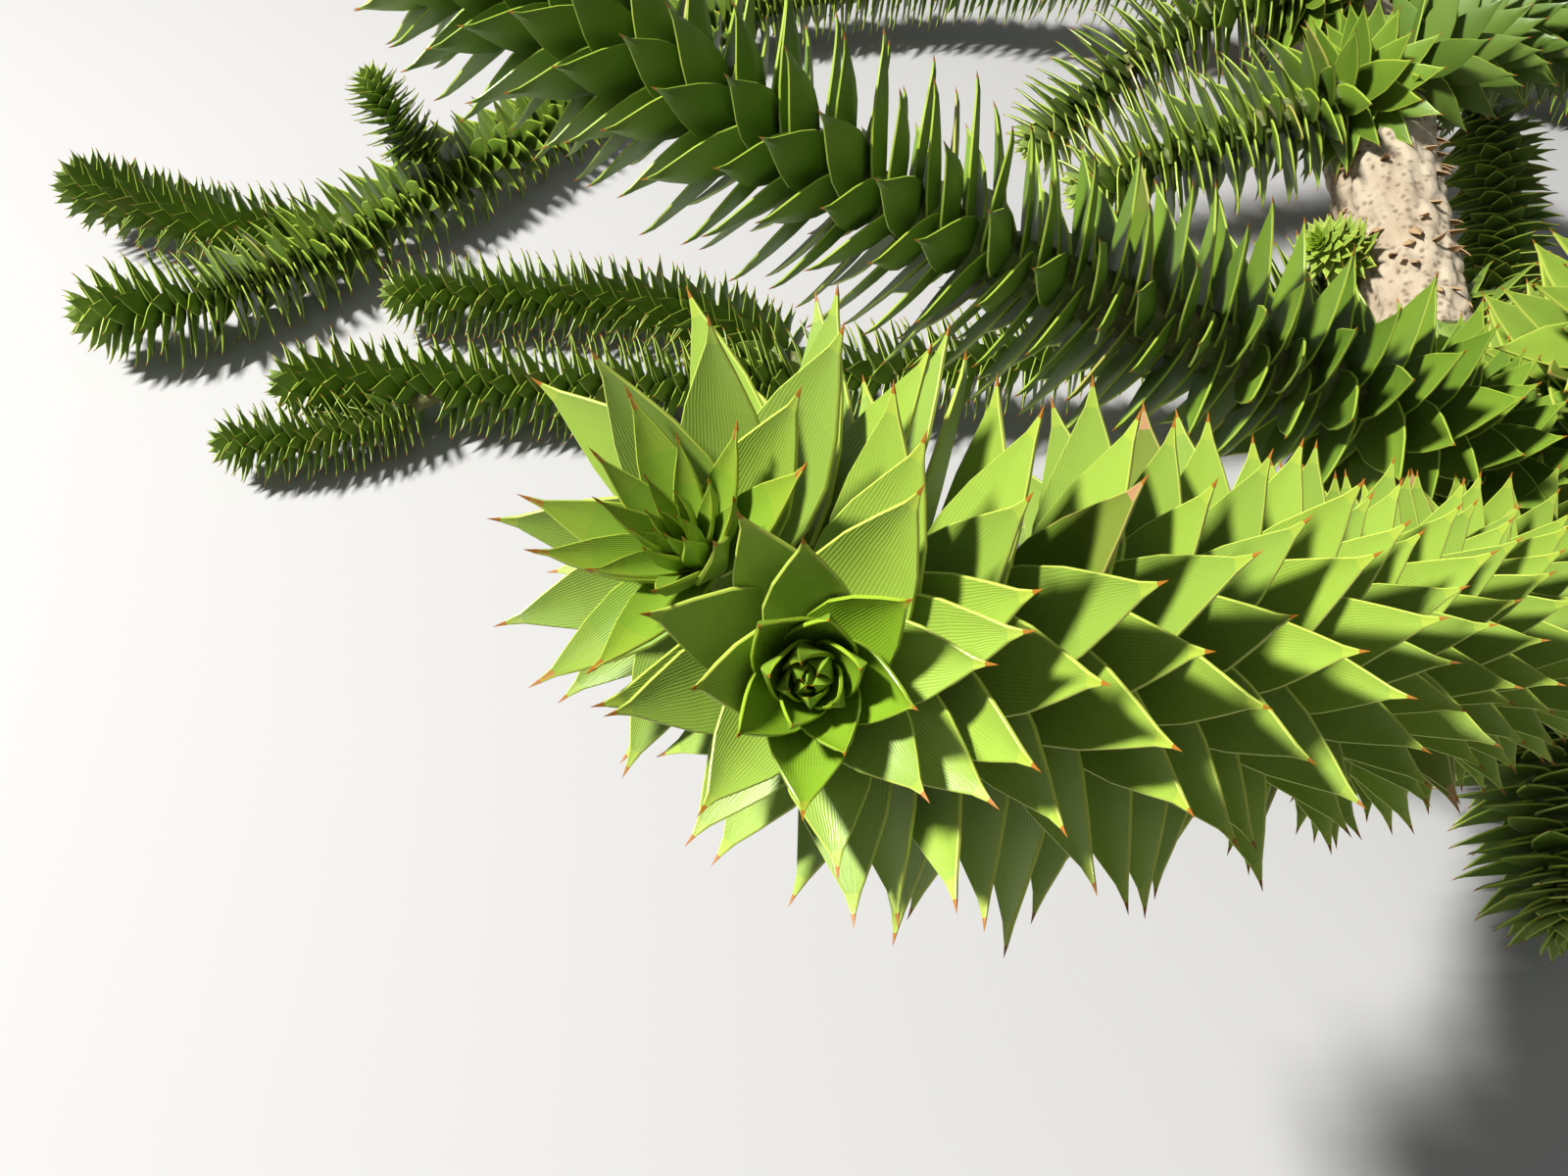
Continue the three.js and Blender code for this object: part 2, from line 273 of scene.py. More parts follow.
class Effects:
    """Patterns that several finishes share, each a node group built once."""

    def __init__(self) -> None:
        """Builds the groups."""
        self.veins = self._veins()
        self.mottle = self._mottle()

    @staticmethod
    def _group(name: str, inputs: dict[str, float], outputs: Sequence[str]) -> bpy.types.NodeTree:
        """Empty group that takes a vector and named numbers and puts out named masks.

        Args:
            name: Name of the group.
            inputs: Numbers it takes, with their usual values.
            outputs: Masks it puts out.

        Returns:
            The group with its sockets and its two end nodes.
        """
        group = bpy.data.node_groups.new(name, "ShaderNodeTree")
        new_socket = group.interface.new_socket
        new_socket("Vector", in_out="INPUT", socket_type="NodeSocketVector")
        for socket, value in inputs.items():
            new_socket(socket, in_out="INPUT", socket_type="NodeSocketFloat").default_value = value
        for socket in outputs:
            new_socket(socket, in_out="OUTPUT", socket_type="NodeSocketFloat")
        group.nodes.new("NodeGroupInput")
        group.nodes.new("NodeGroupOutput")
        return group

    def _veins(self) -> bpy.types.NodeTree:
        """Fine parallel veins: bands across u with a slight wander, from 0 to 1."""
        group = self._group("parallel_veins", {"Lines": 5.0}, ["Ridge"])
        start, end = group.nodes
        wander = {"Distortion": 0.6, "Detail": 1.0, "Detail Scale": 2.0}
        bands = preset(group.nodes.new("ShaderNodeTexWave"), wander)
        bands.bands_direction = "X"
        group.links.new(start.outputs["Vector"], bands.inputs["Vector"])
        group.links.new(start.outputs["Lines"], bands.inputs["Scale"])
        group.links.new(bands.outputs["Fac"], end.inputs["Ridge"])
        return group

    def _mottle(self) -> bpy.types.NodeTree:
        """Two masks: broad blotches, and small specks where cells of a pattern are near."""
        group = self._group("mottle", {"Blotches": 20.0, "Specks": 160.0}, ["Blotch", "Speck"])
        start, end = group.nodes
        cloud = preset(group.nodes.new("ShaderNodeTexNoise"), {"Detail": 6.0, "Roughness": 0.62})
        cells = group.nodes.new("ShaderNodeTexVoronoi")
        falling = {"From Min": 0.12, "From Max": 0.42, "To Min": 1.0, "To Max": 0.0}
        ramp = preset(group.nodes.new("ShaderNodeMapRange"), falling)
        for texture, scale in ((cloud, "Blotches"), (cells, "Specks")):
            group.links.new(start.outputs["Vector"], texture.inputs["Vector"])
            group.links.new(start.outputs[scale], texture.inputs["Scale"])
        group.links.new(cloud.outputs["Fac"], end.inputs["Blotch"])
        group.links.new(cells.outputs["Distance"], ramp.inputs["Value"])
        group.links.new(ramp.outputs["Result"], end.inputs["Speck"])
        return group


class Surface:
    """A material under construction: its Principled shader and short ways to wire it."""

    def __init__(self, name: str, color: Color, roughness: float) -> None:
        """Starts a material of one colour.

        Args:
            name: Name of the material.
            color: Base colour, linear.
            roughness: How matt it is.
        """
        self.material = bpy.data.materials.new(name)
        self.material.use_nodes = True
        self.material.diffuse_color = (*color, 1.0)
        self.nodes = self.material.node_tree.nodes
        self.links = self.material.node_tree.links
        self.shader = self.nodes["Principled BSDF"]
        preset(self.shader, {"Base Color": (*color, 1.0), "Roughness": roughness})

    def coordinates(self, kind: str) -> Socket:
        """Texture coordinates: "Object", or "grain" for the piece's own UV map."""
        if kind == GRAIN_UV:
            node = self.nodes.new("ShaderNodeUVMap")
            node.uv_map = GRAIN_UV
            return node.outputs["UV"]
        return self.nodes.new("ShaderNodeTexCoord").outputs["Object"]

    def pattern(self, group: bpy.types.NodeTree, kind: str, **values: float) -> Node:
        """Places a shared pattern.

        Args:
            group: The pattern's node group.
            kind: Which coordinates it follows.
            values: Its numbers, by socket name.

        Returns:
            The group's node.
        """
        node = self.nodes.new("ShaderNodeGroup")
        node.node_tree = group
        self.links.new(self.coordinates(kind), node.inputs["Vector"])
        return preset(node, values)

    def blend(self, mask: Socket, start: Union[Socket, Color], end: Color) -> Socket:
        """Colour that goes with a mask from start, a colour or another blend, to end."""
        node = self.nodes.new("ShaderNodeMix")
        node.data_type = "RGBA"
        self.links.new(mask, node.inputs["Factor"])
        preset(node, {"B": (*end, 1.0)})
        if isinstance(start, Socket):
            self.links.new(start, node.inputs["A"])
        else:
            preset(node, {"A": (*start, 1.0)})
        return node.outputs["Result"]

    def span(
        self, mask: Socket, low: float, high: float, start: float = 0.0, end: float = 1.0
    ) -> Socket:
        """Number from low to high while the mask goes from start to end."""
        ends = {"From Min": start, "From Max": end, "To Min": low, "To Max": high}
        node = preset(self.nodes.new("ShaderNodeMapRange"), ends)
        self.links.new(mask, node.inputs["Value"])
        return node.outputs["Result"]

    def relief(self, height: Socket, depth: float) -> None:
        """Raises the surface by the height, as much as depth in metres."""
        bump = preset(self.nodes.new("ShaderNodeBump"), {"Strength": 1.0, "Distance": depth})
        self.links.new(height, bump.inputs["Height"])
        self.links.new(bump.outputs["Normal"], self.shader.inputs["Normal"])

    def feed(self, socket: str, value: Socket) -> None:
        """Leads a value to one of the shader's sockets."""
        self.links.new(value, self.shader.inputs[socket])

    def vary(self, mask: Socket, roughness: float, play: tuple[float, float]) -> None:
        """Strays from a roughness by the first play where the mask is 0, the second where it is 1."""
        self.feed("Roughness", self.span(mask, roughness + play[0], roughness + play[1]))


@dataclass(frozen=True)
class LeafSkin:
    """Waxy leaf surface in one green, glossier on its parallel veins, with their relief on top."""

    name: str
    color: Color
    roughness: float = 0.42
    vein_depth: float = 0.00004
    vein_lines: float = 9.0
    play: tuple[float, float] = (0.1, -0.05)

    def material(self, effects: Effects) -> Material:
        """Builds the material."""
        surface = Surface(self.name, self.color, self.roughness)
        ridge = surface.pattern(effects.veins, GRAIN_UV, Lines=self.vein_lines).outputs["Ridge"]
        surface.vary(ridge, self.roughness, self.play)
        if self.vein_depth:
            surface.relief(ridge, self.vein_depth)
        return surface.material


@dataclass(frozen=True)
class HornTip:
    """Hard orange-brown spine that ends a leaf."""

    name: str = "leaf_spine"
    color: Color = (0.34, 0.125, 0.008)
    roughness: float = 0.45
    blotches: float = 300.0
    play: tuple[float, float] = (-0.1, 0.15)

    def material(self, effects: Effects) -> Material:
        """Builds the material."""
        surface = Surface(self.name, self.color, self.roughness)
        mottle = surface.pattern(effects.mottle, "Object", Blotches=self.blotches)
        surface.vary(mottle.outputs["Blotch"], self.roughness, self.play)
        return surface.material


@dataclass(frozen=True)
class Bark:
    """Bark: tan, blotched with grey-brown, and with small dark specks in its colour only.

    The blotches darken over the part of their pattern between the two edges, and the relief is
    finer than they are by the grain.
    """

    name: str
    light: Color
    dark: Color
    speck: Color
    roughness: float = 0.85
    blotches: float = 22.0
    edges: tuple[float, float] = (0.42, 0.66)
    specks: float = 170.0
    speck_cover: float = 0.75
    play: tuple[float, float] = (-0.12, 0.1)
    grain: float = 12.0
    depth: float = 0.0008

    def material(self, effects: Effects) -> Material:
        """Builds the material."""
        surface = Surface(self.name, self.light, self.roughness)
        mottle = surface.pattern(
            effects.mottle, "Object", Blotches=self.blotches, Specks=self.specks
        )
        blotch, speck = mottle.outputs["Blotch"], mottle.outputs["Speck"]
        tan = surface.blend(surface.span(blotch, 0.0, 1.0, *self.edges), self.light, self.dark)
        cover = surface.span(speck, 0.0, self.speck_cover)
        surface.feed("Base Color", surface.blend(cover, tan, self.speck))
        surface.vary(blotch, self.roughness, self.play)
        fine = surface.pattern(effects.mottle, "Object", Blotches=self.blotches * self.grain)
        surface.relief(fine.outputs["Blotch"], self.depth)
        return surface.material


LIMB_BARK = Bark("limb_bark", (0.48, 0.405, 0.285), (0.33, 0.245, 0.155), (0.11, 0.065, 0.038))
YOUNG_STEM = Bark("stem_young", (0.22, 0.32, 0.05), (0.16, 0.25, 0.03), (0.12, 0.16, 0.03), 0.6)
GROWN_STEM = Bark("stem_grown", (0.13, 0.19, 0.035), (0.16, 0.14, 0.05), (0.07, 0.07, 0.02), 0.7)


@dataclass(frozen=True)
class CutWood:
    """Fresh sawn end of the limb: pale wood with darker growth rings round the pith.

    Rings are bands of the UV map's u, which is the radius in metres. They darken where their
    pattern is above late_from.
    """

    name: str = "cut_wood"
    light: Color = (0.66, 0.47, 0.27)
    dark: Color = (0.40, 0.24, 0.11)
    roughness: float = 0.75
    ring_width: float = 0.0032
    band: float = 0.314  # width of one of the pattern's bands when it has one line
    late_from: float = 0.55
    late_cover: float = 0.8
    fibres: float = 400.0
    play: tuple[float, float] = (-0.13, 0.1)
    depth: float = 0.0003

    def material(self, effects: Effects) -> Material:
        """Builds the material."""
        surface = Surface(self.name, self.light, self.roughness)
        rings = surface.pattern(effects.veins, GRAIN_UV, Lines=self.band / self.ring_width)
        ring = surface.span(rings.outputs["Ridge"], 0.0, self.late_cover, self.late_from, 1.0)
        surface.feed("Base Color", surface.blend(ring, self.light, self.dark))
        fibres = surface.pattern(effects.mottle, "Object", Blotches=self.fibres).outputs["Blotch"]
        surface.vary(fibres, self.roughness, self.play)
        surface.relief(fibres, self.depth)
        return surface.material


class FacePart(Enum):
    """Parts of a leaf that have a colour of their own; the margin's is also brightened as painted
    highlight where light catches the edge.
    """

    BLADE = 0
    FORE = 1
    TIP = 2
    # Pale margin strip and edge wall, their colour brightened with painted highlight of light on the
    # edge.
    MARGIN = 3
    UNDERSIDE = 4
    SPINE = 5


class Tone(Enum):
    """Colours of a leaf: its blade, fore part and tip, then its margin and underside. The margin is
    paler than the blade partly of its own, and partly as painted highlight where light catches the
    leaf's edge.
    """

    BUD = (
        (0.16, 0.28, 0.014), (0.17, 0.295, 0.015), (0.27, 0.3, 0.025),
        (0.27, 0.39, 0.022), (0.18, 0.3, 0.022),
    )
    TUFT = (
        (0.18, 0.3, 0.02), (0.21, 0.31, 0.022), (0.36, 0.17, 0.025),
        (0.32, 0.4, 0.035), (0.2, 0.31, 0.03),
    )
    # The last colour, the underside, is tinted blue as a painted reflection of the sky on the glossy
    # undersides.
    YOUNG = (
        (0.25, 0.37, 0.042), (0.26, 0.385, 0.043), (0.33, 0.43, 0.044),
        (0.44, 0.52, 0.07), (0.25, 0.35, 0.08),
    )
    # Here too the underside's blue tint is a painted reflection of the sky.
    YOUNG_DEEP = (
        (0.205, 0.31, 0.038), (0.215, 0.325, 0.039), (0.28, 0.38, 0.041),
        (0.4, 0.48, 0.065), (0.2, 0.29, 0.065),
    )
    GROWN = (
        (0.15, 0.25, 0.02), (0.157, 0.262, 0.021), (0.21, 0.31, 0.024),
        (0.34, 0.45, 0.045), (0.13, 0.21, 0.028),
    )
    GROWN_DEEP = (
        (0.112, 0.2, 0.015), (0.118, 0.21, 0.016), (0.16, 0.255, 0.019),
        (0.3, 0.41, 0.038), (0.1, 0.175, 0.021),
    )
    WORN = (
        (0.13, 0.21, 0.018), (0.16, 0.21, 0.025), (0.42, 0.22, 0.1),
        (0.38, 0.36, 0.07), (0.15, 0.2, 0.04),
    )
    DRY = (
        (0.34, 0.19, 0.085), (0.32, 0.165, 0.07), (0.24, 0.11, 0.05),
        (0.44, 0.29, 0.14), (0.4, 0.26, 0.13),
    )

    def color(self, part: FacePart) -> Color:
        """Colour of one part of the leaf."""
        return self.value[part.value]


class Palette:
    """The finishes of all leaves, in one fixed order of material slots."""

    ROUGHNESS = {Tone.BUD: 0.3, Tone.DRY: 0.75}
    VEIN_DEPTH = {FacePart.MARGIN: 0.0, FacePart.UNDERSIDE: 0.0}

    def __init__(self, effects: Effects) -> None:
        """Builds a finish for each part of each tone.

        Args:
            effects: The shared patterns.
        """
        self.materials: list[Material] = []
        parts = [part for part in FacePart if part is not FacePart.SPINE]
        self.slot = np.zeros((len(Tone), len(FacePart)), int)
        for row, tone in enumerate(Tone):
            for part in parts:
                skin = LeafSkin(
                    name=f"leaf_{tone.name.lower()}_{part.name.lower()}",
                    color=tone.color(part),
                    roughness=self.ROUGHNESS.get(tone, LeafSkin.roughness),
                    vein_depth=self.VEIN_DEPTH.get(part, LeafSkin.vein_depth),
                )
                self.slot[row, part.value] = len(self.materials)
                self.materials.append(skin.material(effects))
        self.slot[:, FacePart.SPINE.value] = len(self.materials)
        self.materials.append(HornTip().material(effects))

    def dress(self, tones: Array, parts: Array) -> tuple[list[Material], Array]:
        """Materials that a piece needs, and the slot of every face.

        Args:
            tones: Row of the tone of each leaf.
            parts: Part that each face of a leaf belongs to.

        Returns:
            The materials in use, and one slot for each face, leaf by leaf.
        """
        wanted = self.slot[tones[:, None], parts[None, :]].ravel()
        used, slots = np.unique(wanted, return_inverse=True)
        return [self.materials[i] for i in used], slots


@dataclass
class LeafBatch:
    """Leaves of one piece, with one row of every array for each leaf.

    Angles are in radians from the stem's heading: root_angle at the leaf's foot and tip_angle at
    its point. Lengths are in metres.
    """

    root: Array
    along: Array
    radial: Array
    length: Array
    width: Array
    root_angle: Array
    tip_angle: Array
    cup: Array
    twist: Array
    thickness: Array
    tone: Array

    def pressed(self, share: float) -> "LeafBatch":
        """The same leaves laid closer to the stem, at a share of their angles."""
        return replace(self, root_angle=self.root_angle * share, tip_angle=self.tip_angle * share)

    def kept(self, keep: Array) -> "LeafBatch":
        """The leaves marked in keep."""
        return LeafBatch(**{name: values[keep] for name, values in vars(self).items()})

    @staticmethod
    def joined(batches: Sequence["LeafBatch"]) -> "LeafBatch":
        """All the leaves of several batches, in order."""
        rows = [vars(batch) for batch in batches]
        return LeafBatch(**{name: np.concatenate([row[name] for row in rows]) for name in rows[0]})


@dataclass(frozen=True)
class LeafShape:
    """Outline and section of a leaf: a broad foot, a long point and a hard spine.

    Each leaf is a row of rings along its curved midline. A ring runs over the top from the middle
    to the rim and the edge, down the edge, under the keel and back up the other side. Stations,
    widest, fore_from and tip_from are shares of the length. The rim is this far from the edge in
    metres, but at a share of the half-width within its span, and stoutest is the most thickness
    against the half-width. The grain's numbers are those of its UV map.
    """

    stations: tuple[float, ...]
    inner: tuple[float, ...] = ()
    rim: float = 0.0005
    rim_span: tuple[float, float] = (0.6, 0.97)
    taper: float = 0.4
    stoutest: float = 1.2
    edge_share: float = 0.7
    bevel_share: float = 0.35
    spine: float = 0.003
    spine_radius: float = 0.00048
    least_spine: float = 0.3
    full_spine_from: float = 0.03
    widest: float = 0.27
    fullness: float = 1.15
    foot_share: float = 0.8
    fore_from: float = 0.6
    tip_from: float = 0.9
    grain_rim: float = 0.93
    grain_end: float = 1.1
    grain_step: float = 1.37

    @property
    def around(self) -> int:
        """Points in a ring."""
        return 8 + 2 * len(self.inner)

    def outline(self, t: Array) -> Array:
        """Half-width at a share t of the length, against the widest.

        From the foot it swells as foot + (1 - foot) * sin(90 deg * t / widest). Past the widest
        place it is sin(90 deg * d)^fullness, with d from 1 there down to 0 at the point.
        """
        rise = np.sin(np.pi / 2 * np.minimum(t / self.widest, 1))
        swell = self.foot_share + (1 - self.foot_share) * rise
        d = np.clip((1 - t) / (1 - self.widest), 0, 1)
        return np.where(t < self.widest, swell, np.sin(np.pi / 2 * d) ** self.fullness)

    def across(self, rim: Array) -> Array:
        """Places round a ring, from -1 to 1 across the leaf, for a rim at this share of it."""
        one, none = np.ones_like(rim), np.zeros_like(rim)
        right = [rim * q for q in self.inner] + [rim, one]
        return np.stack([none, *right, one, none, -one, *(-q for q in right[::-1])], axis=-1)

    def vertices(self, leaves: LeafBatch) -> Array:
        """Vertices of all the leaves.

        The midline turns evenly from root_angle to tip_angle: each step along it is
        cos(angle) * along + sin(angle) * radial. The section is an arc that spans the cup angle
        to either side: x = w * sin(c * s) / c and z = w * (1 - cos(c * s)) / c for s from -1 to 1,
        with the edges and the keel set below it by the leaf's thickness.

        Args:
            leaves: The leaves.

        Returns:
            Rows of points for each leaf, ring by ring, the spine's point last.
        """
        t = np.array(self.stations)
        swing = (leaves.tip_angle - leaves.root_angle)[:, None]

        def heading(angle: Array) -> Array:
            """cos(angle) * along + sin(angle) * radial."""
            return (
                np.cos(angle)[..., None] * leaves.along[:, None]
                + np.sin(angle)[..., None] * leaves.radial[:, None]
            )

        between = leaves.root_angle[:, None] + swing * (t[1:] + t[:-1]) / 2
        steps = heading(between) * (np.diff(t) * leaves.length[:, None])[..., None]
        foot = np.zeros_like(steps[:, :1])
        line = leaves.root[:, None] + np.concatenate([foot, np.cumsum(steps, axis=1)], axis=1)
        angle = leaves.root_angle[:, None] + swing * t
        over = heading(angle - np.pi / 2)
        across = np.broadcast_to(np.cross(leaves.along, leaves.radial)[:, None], over.shape)
        turn = (leaves.twist[:, None] * t)[..., None]
        across, over = (
            across * np.cos(turn) + over * np.sin(turn),
            over * np.cos(turn) - across * np.sin(turn),
        )
        small = np.clip(leaves.length / self.full_spine_from, self.least_spine, 1.0)
        point_radius = (self.spine_radius * small)[:, None]
        half = np.maximum(leaves.width[:, None] / 2 * self.outline(t), point_radius)
        s = self.across(np.clip(1 - self.rim / half, *self.rim_span))
        keel = leaves.thickness[:, None] * (1 - self.taper * t)
        keel = np.minimum(keel, np.maximum(half * self.stoutest, point_radius * 2))
        edge = keel * self.edge_share
        bevel = edge * self.bevel_share
        flat = [np.zeros_like(keel)] * (len(self.inner) + 1)
        drop = np.stack([*flat, flat[0], bevel, edge, keel, edge, bevel, *flat], axis=-1)
        cup = leaves.cup[:, None, None]
        x = half[..., None] * np.sin(cup * s) / cup
        z = half[..., None] * (1 - np.cos(cup * s)) / cup - drop
        rings = line[:, :, None] + across[:, :, None] * x[..., None] + over[:, :, None] * z[..., None]
        point = line[:, -1] + heading(angle[:, -1:])[:, 0] * (self.spine * small)[:, None]
        rings = rings.reshape(len(line), len(t) * self.around, 3)
        return np.concatenate([rings, point[:, None]], axis=1)

    def midline(self, vertices: Array) -> Array:
        """Points on the leaves' top middle, one for each station, and the spine's point."""
        rings = vertices[:, :-1].reshape(len(vertices), len(self.stations), self.around, 3)
        return np.concatenate([rings[:, :, 0], vertices[:, -1:]], axis=1)

    def parts(self) -> Array:
        """Which part of the leaf each of its faces belongs to, in the order of faces()."""
        t = np.array(self.stations)
        middle = (t[1:] + t[:-1])[:, None] / 2
        blade, fore, tip, edge, under, spine = (part.value for part in FacePart)
        top = np.where(middle > self.tip_from, tip, np.where(middle > self.fore_from, fore, blade))
        top = np.repeat(top, len(self.inner) + 1, axis=1)
        # Rim strips and edge walls take the margin colour, which also paints the highlight of light on
        # the leaf's edge.
        rest = np.tile([edge, edge, under, under, edge, edge], (len(middle), 1))
        walls = np.hstack([top, rest, top])
        return np.concatenate([walls.ravel(), np.full(self.around, spine), [under]])

    def faces(self, count: int) -> tuple[list[Array], Array]:
        """Faces of many leaves, and for each face its place in the order leaf by leaf.

        Args:
            count: How many leaves.

        Returns:
            Blocks of walls, spine faces and root caps, and the order that takes a list made leaf
            by leaf to the order of the blocks.
        """
        rings, around = len(self.stations), self.around
        first = np.arange(count)[:, None, None, None] * (rings * around + 1)
        k, j = np.meshgrid(np.arange(rings - 1), np.arange(around), indexing="ij")
        beside = (j + 1) % around
        here, ahead = k * around, (k + 1) * around
        walls = np.stack([here + j, ahead + j, ahead + beside, here + beside], -1)
        last = (rings - 1) * around
        j = np.arange(around)
        spine = np.stack([last + j, np.full(around, rings * around), last + (j + 1) % around], -1)
        blocks = [
            (first + walls).reshape(-1, 4),
            (first[:, 0] + spine).reshape(-1, 3),
            first[:, 0, 0] + j,
        ]
        per_leaf = [(rings - 1) * around, around, 1]
        numbers = np.arange(count * sum(per_leaf)).reshape(count, -1)
        kinds = np.split(numbers, np.cumsum(per_leaf)[:-1], axis=1)
        order = np.concatenate([kind.ravel() for kind in kinds])
        return blocks, order

    def grain(self, leaves: LeafBatch) -> Array:
        """UV of every vertex: u across the leaf, with veins as wide all along, and v along it."""
        t = np.array(self.stations)[:, None]
        u = np.sqrt(self.outline(t)) * self.across(np.array(self.grain_rim)) / 2
        v = np.broadcast_to(t, u.shape)
        one = np.stack([np.append(u, 0.0), np.append(v, self.grain_end)], -1)
        shift = np.arange(len(leaves.length))[:, None, None] * np.array([self.grain_step, 0.0])
        return (one[None] + shift).reshape(-1, 2)

    def build(self, piece: Piece, leaves: LeafBatch, palette: Palette) -> None:
        """Makes one piece of all the leaves.

        Args:
            piece: Name, slot and replaced nodes.
            leaves: The leaves.
            palette: The leaf finishes.
        """
        blocks, order = self.faces(len(leaves.length))
        materials, slots = palette.dress(leaves.tone, self.parts())
        uv = self.grain(leaves)[np.concatenate([block.ravel() for block in blocks])]
        vertices = self.vertices(leaves).reshape(-1, 3)
        piece.join_frame(mesh_object(piece.name, vertices, blocks, uv, materials, slots[order]))


BUD_LEAF = LeafShape(
    stations=(0.0, 0.14, 0.28, 0.42, 0.55, 0.67, 0.77, 0.86, 0.94, 1.0),
    inner=(0.35, 0.7),
    rim=0.0003,
    edge_share=0.48,
)
NEAR_LEAF = LeafShape((0.0, 0.2, 0.42, 0.62, 0.8, 0.92, 1.0), inner=(0.5,), rim=0.0003, edge_share=0.48)
FAR_LEAF = LeafShape((0.0, 0.24, 0.5, 0.74, 0.9, 1.0), rim=0.0007)


@dataclass(frozen=True)
class Law:
    """A measure of a leaf that settles from its value in the bud to its value when grown.

    Its variable is the leaf's number, counted from the bud.
    """

    bud: float
    grown: float
    reach: float
    power: float

    def at(self, number: Array) -> Array:
        """The measure of the leaves with these numbers."""
        return settle(self.bud, self.grown, number, self.reach, self.power)


@dataclass(frozen=True)
class Growth:
    """Laws of growth for a full shoot: millimetres, degrees, and the share of its full spread."""

    length: Law = Law(7.0, 52.0, 27.0, 1.6)
    width: Law = Law(4.6, 24.0, 17.0, 1.35)
    spread: Law = Law(-0.1, 1.0, 18.5, 1.6)
    cup: Law = Law(70.0, 17.0, 16.0, 1.8)
    curl: Law = Law(60.0, 12.0, 17.0, 1.6)
    pitch: Law = Law(0.45, 1.9, 36.0, 2.0)
    thickness: Law = Law(2.3, 2.7, 24.0, 1.0)


class Bud(Enum):
    """Forms of bud: a rose of broad scales, or a tuft of narrow ones."""

    ROSE = Growth()
    TUFT = Growth(
        length=Law(13.0, 53.0, 30.0, 1.8),
        width=Law(3.4, 24.0, 29.0, 2.2),
        spread=Law(0.08, 1.0, 23.0, 1.7),
        cup=Law(58.0, 17.0, 20.0, 1.6),
        curl=Law(20.0, 12.0, 15.0, 1.0),
        pitch=Law(0.3, 1.9, 36.0, 2.0),
    )


class Spiral:
    """Leaf places on a stem: each leaf sits one pitch behind the one before it.

    The distance behind the bud of leaf n is the integral of the pitch from 0 to n.
    """

    MOST = 1500  # more leaves than any stem has
    FINE = 4  # samples for each leaf
    FIRST = 0.3  # place of the first leaf, in pitches behind the bud
    RIDGES = ((8, 3), (13, 5))  # spiral ridges, and the turns after which each meets its next leaf

    def __init__(self, scale: float, growth: Growth) -> None:
        """Counts the leaves.

        Args:
            scale: The stem's pitch against a full shoot's.
            growth: Its growth.
        """
        self.count = np.linspace(0, self.MOST, self.FINE * self.MOST + 1)
        pitch = growth.pitch.at(self.count) * scale * MM
        steps = np.diff(self.count) * (pitch[1:] + pitch[:-1]) / 2
        self.behind = np.concatenate([[0.0], np.cumsum(steps)])

    def number(self, behind: Array) -> Array:
        """Number of the leaf at a distance behind the bud, with its fraction."""
        return np.interp(behind, self.behind, self.count)

    def numbers(self, length: float) -> Array:
        """Numbers of all the leaves on a length behind the bud."""
        return np.arange(int(self.number(length))) + self.FIRST

    def places(self, numbers: Array) -> Array:
        """Distance behind the bud of the leaves with these numbers."""
        return np.interp(numbers, self.count, self.behind)

    def cushions(self, behind: Array, turn: Array, first_turn: float) -> Array:
        """Swelling under each leaf, from -2 to 2, highest where a leaf sits.

        It is the sum of two sets of spiral ridges, eight one way and thirteen the other:
        cos(8a - (8g - 3 * 360 deg) n) + cos(13a - (13g - 5 * 360 deg) n), for the golden angle g,
        the number n of the leaf and the angle a round the stem.

        Args:
            behind: Distances behind the bud.
            turn: Angles round the stem.
            first_turn: Angle of the first leaf.

        Returns:
            The swelling at each of them.
        """
        n = self.number(behind) - self.FIRST
        a = turn - first_turn
        return sum(np.cos(k * a - (k * GOLDEN_ANGLE - m * TURN) * n) for k, m in self.RIDGES)


@dataclass(frozen=True)
class Stem:
    """A round stem along a path, tapering from its foot to its bud.

    Its radius is base + (tip - base) * share^power. It ends in a dome as long as blunt * tip, cut
    at the least share of that, so that it closes in a small flat.
    """

    path: Path
    base: float
    tip: float
    power: float
    blunt: float = 1.6
    least: float = 0.002

    def radius(self, distance: Array) -> Array:
        """Radius in metres at distances from the foot."""
        share = np.clip(distance / self.path.length, 0, 1)
        return self.base + (self.tip - self.base) * share**self.power

    def dome(self, distance: Array) -> Array:
        """Share of the radius left by the dome: sqrt(1 - (1 - b)^2), with b behind / (blunt * tip)."""
        behind = np.clip((self.path.length - distance) / (self.tip * self.blunt), self.least, 1)
        return np.sqrt(1 - (1 - behind) ** 2)


@dataclass(frozen=True)
class Twin:
    """A second bud on a short stem of its own, and the share of that stem that bears leaves."""

    start: float
    through: tuple[Point, ...]
    leafy: float


@dataclass(frozen=True)
class ShootPlan:
    """Where a shoot grows and how big.

    It leaves its bearer at a share of that stem, start, and runs through the waypoints to its bud.
    Size and the closeness of the leaves are against a full shoot's, spread is the grown leaves'
    angle in degrees, and base is the radius at its foot in millimetres.
    """

    name: str
    bearer: str
    start: float
    size: float
    through: tuple[Point, ...]
    closeness: float = 1.14
    spread: float = 76.0
    base: Optional[float] = None
    power: float = 3.0
    twin: Optional[Twin] = None
    young: bool = False
    near: bool = False
    tones: tuple[Tone, Tone] = (Tone.GROWN, Tone.GROWN_DEEP)
    nodes: tuple[str, ...] = ()

    @property
    def pitch_scale(self) -> float:
        """Its pitch against a full shoot's."""
        return self.size / self.closeness

    @property
    def replaced(self) -> tuple[str, ...]:
        """The solids that it stands for."""
        return self.nodes or (self.name,)


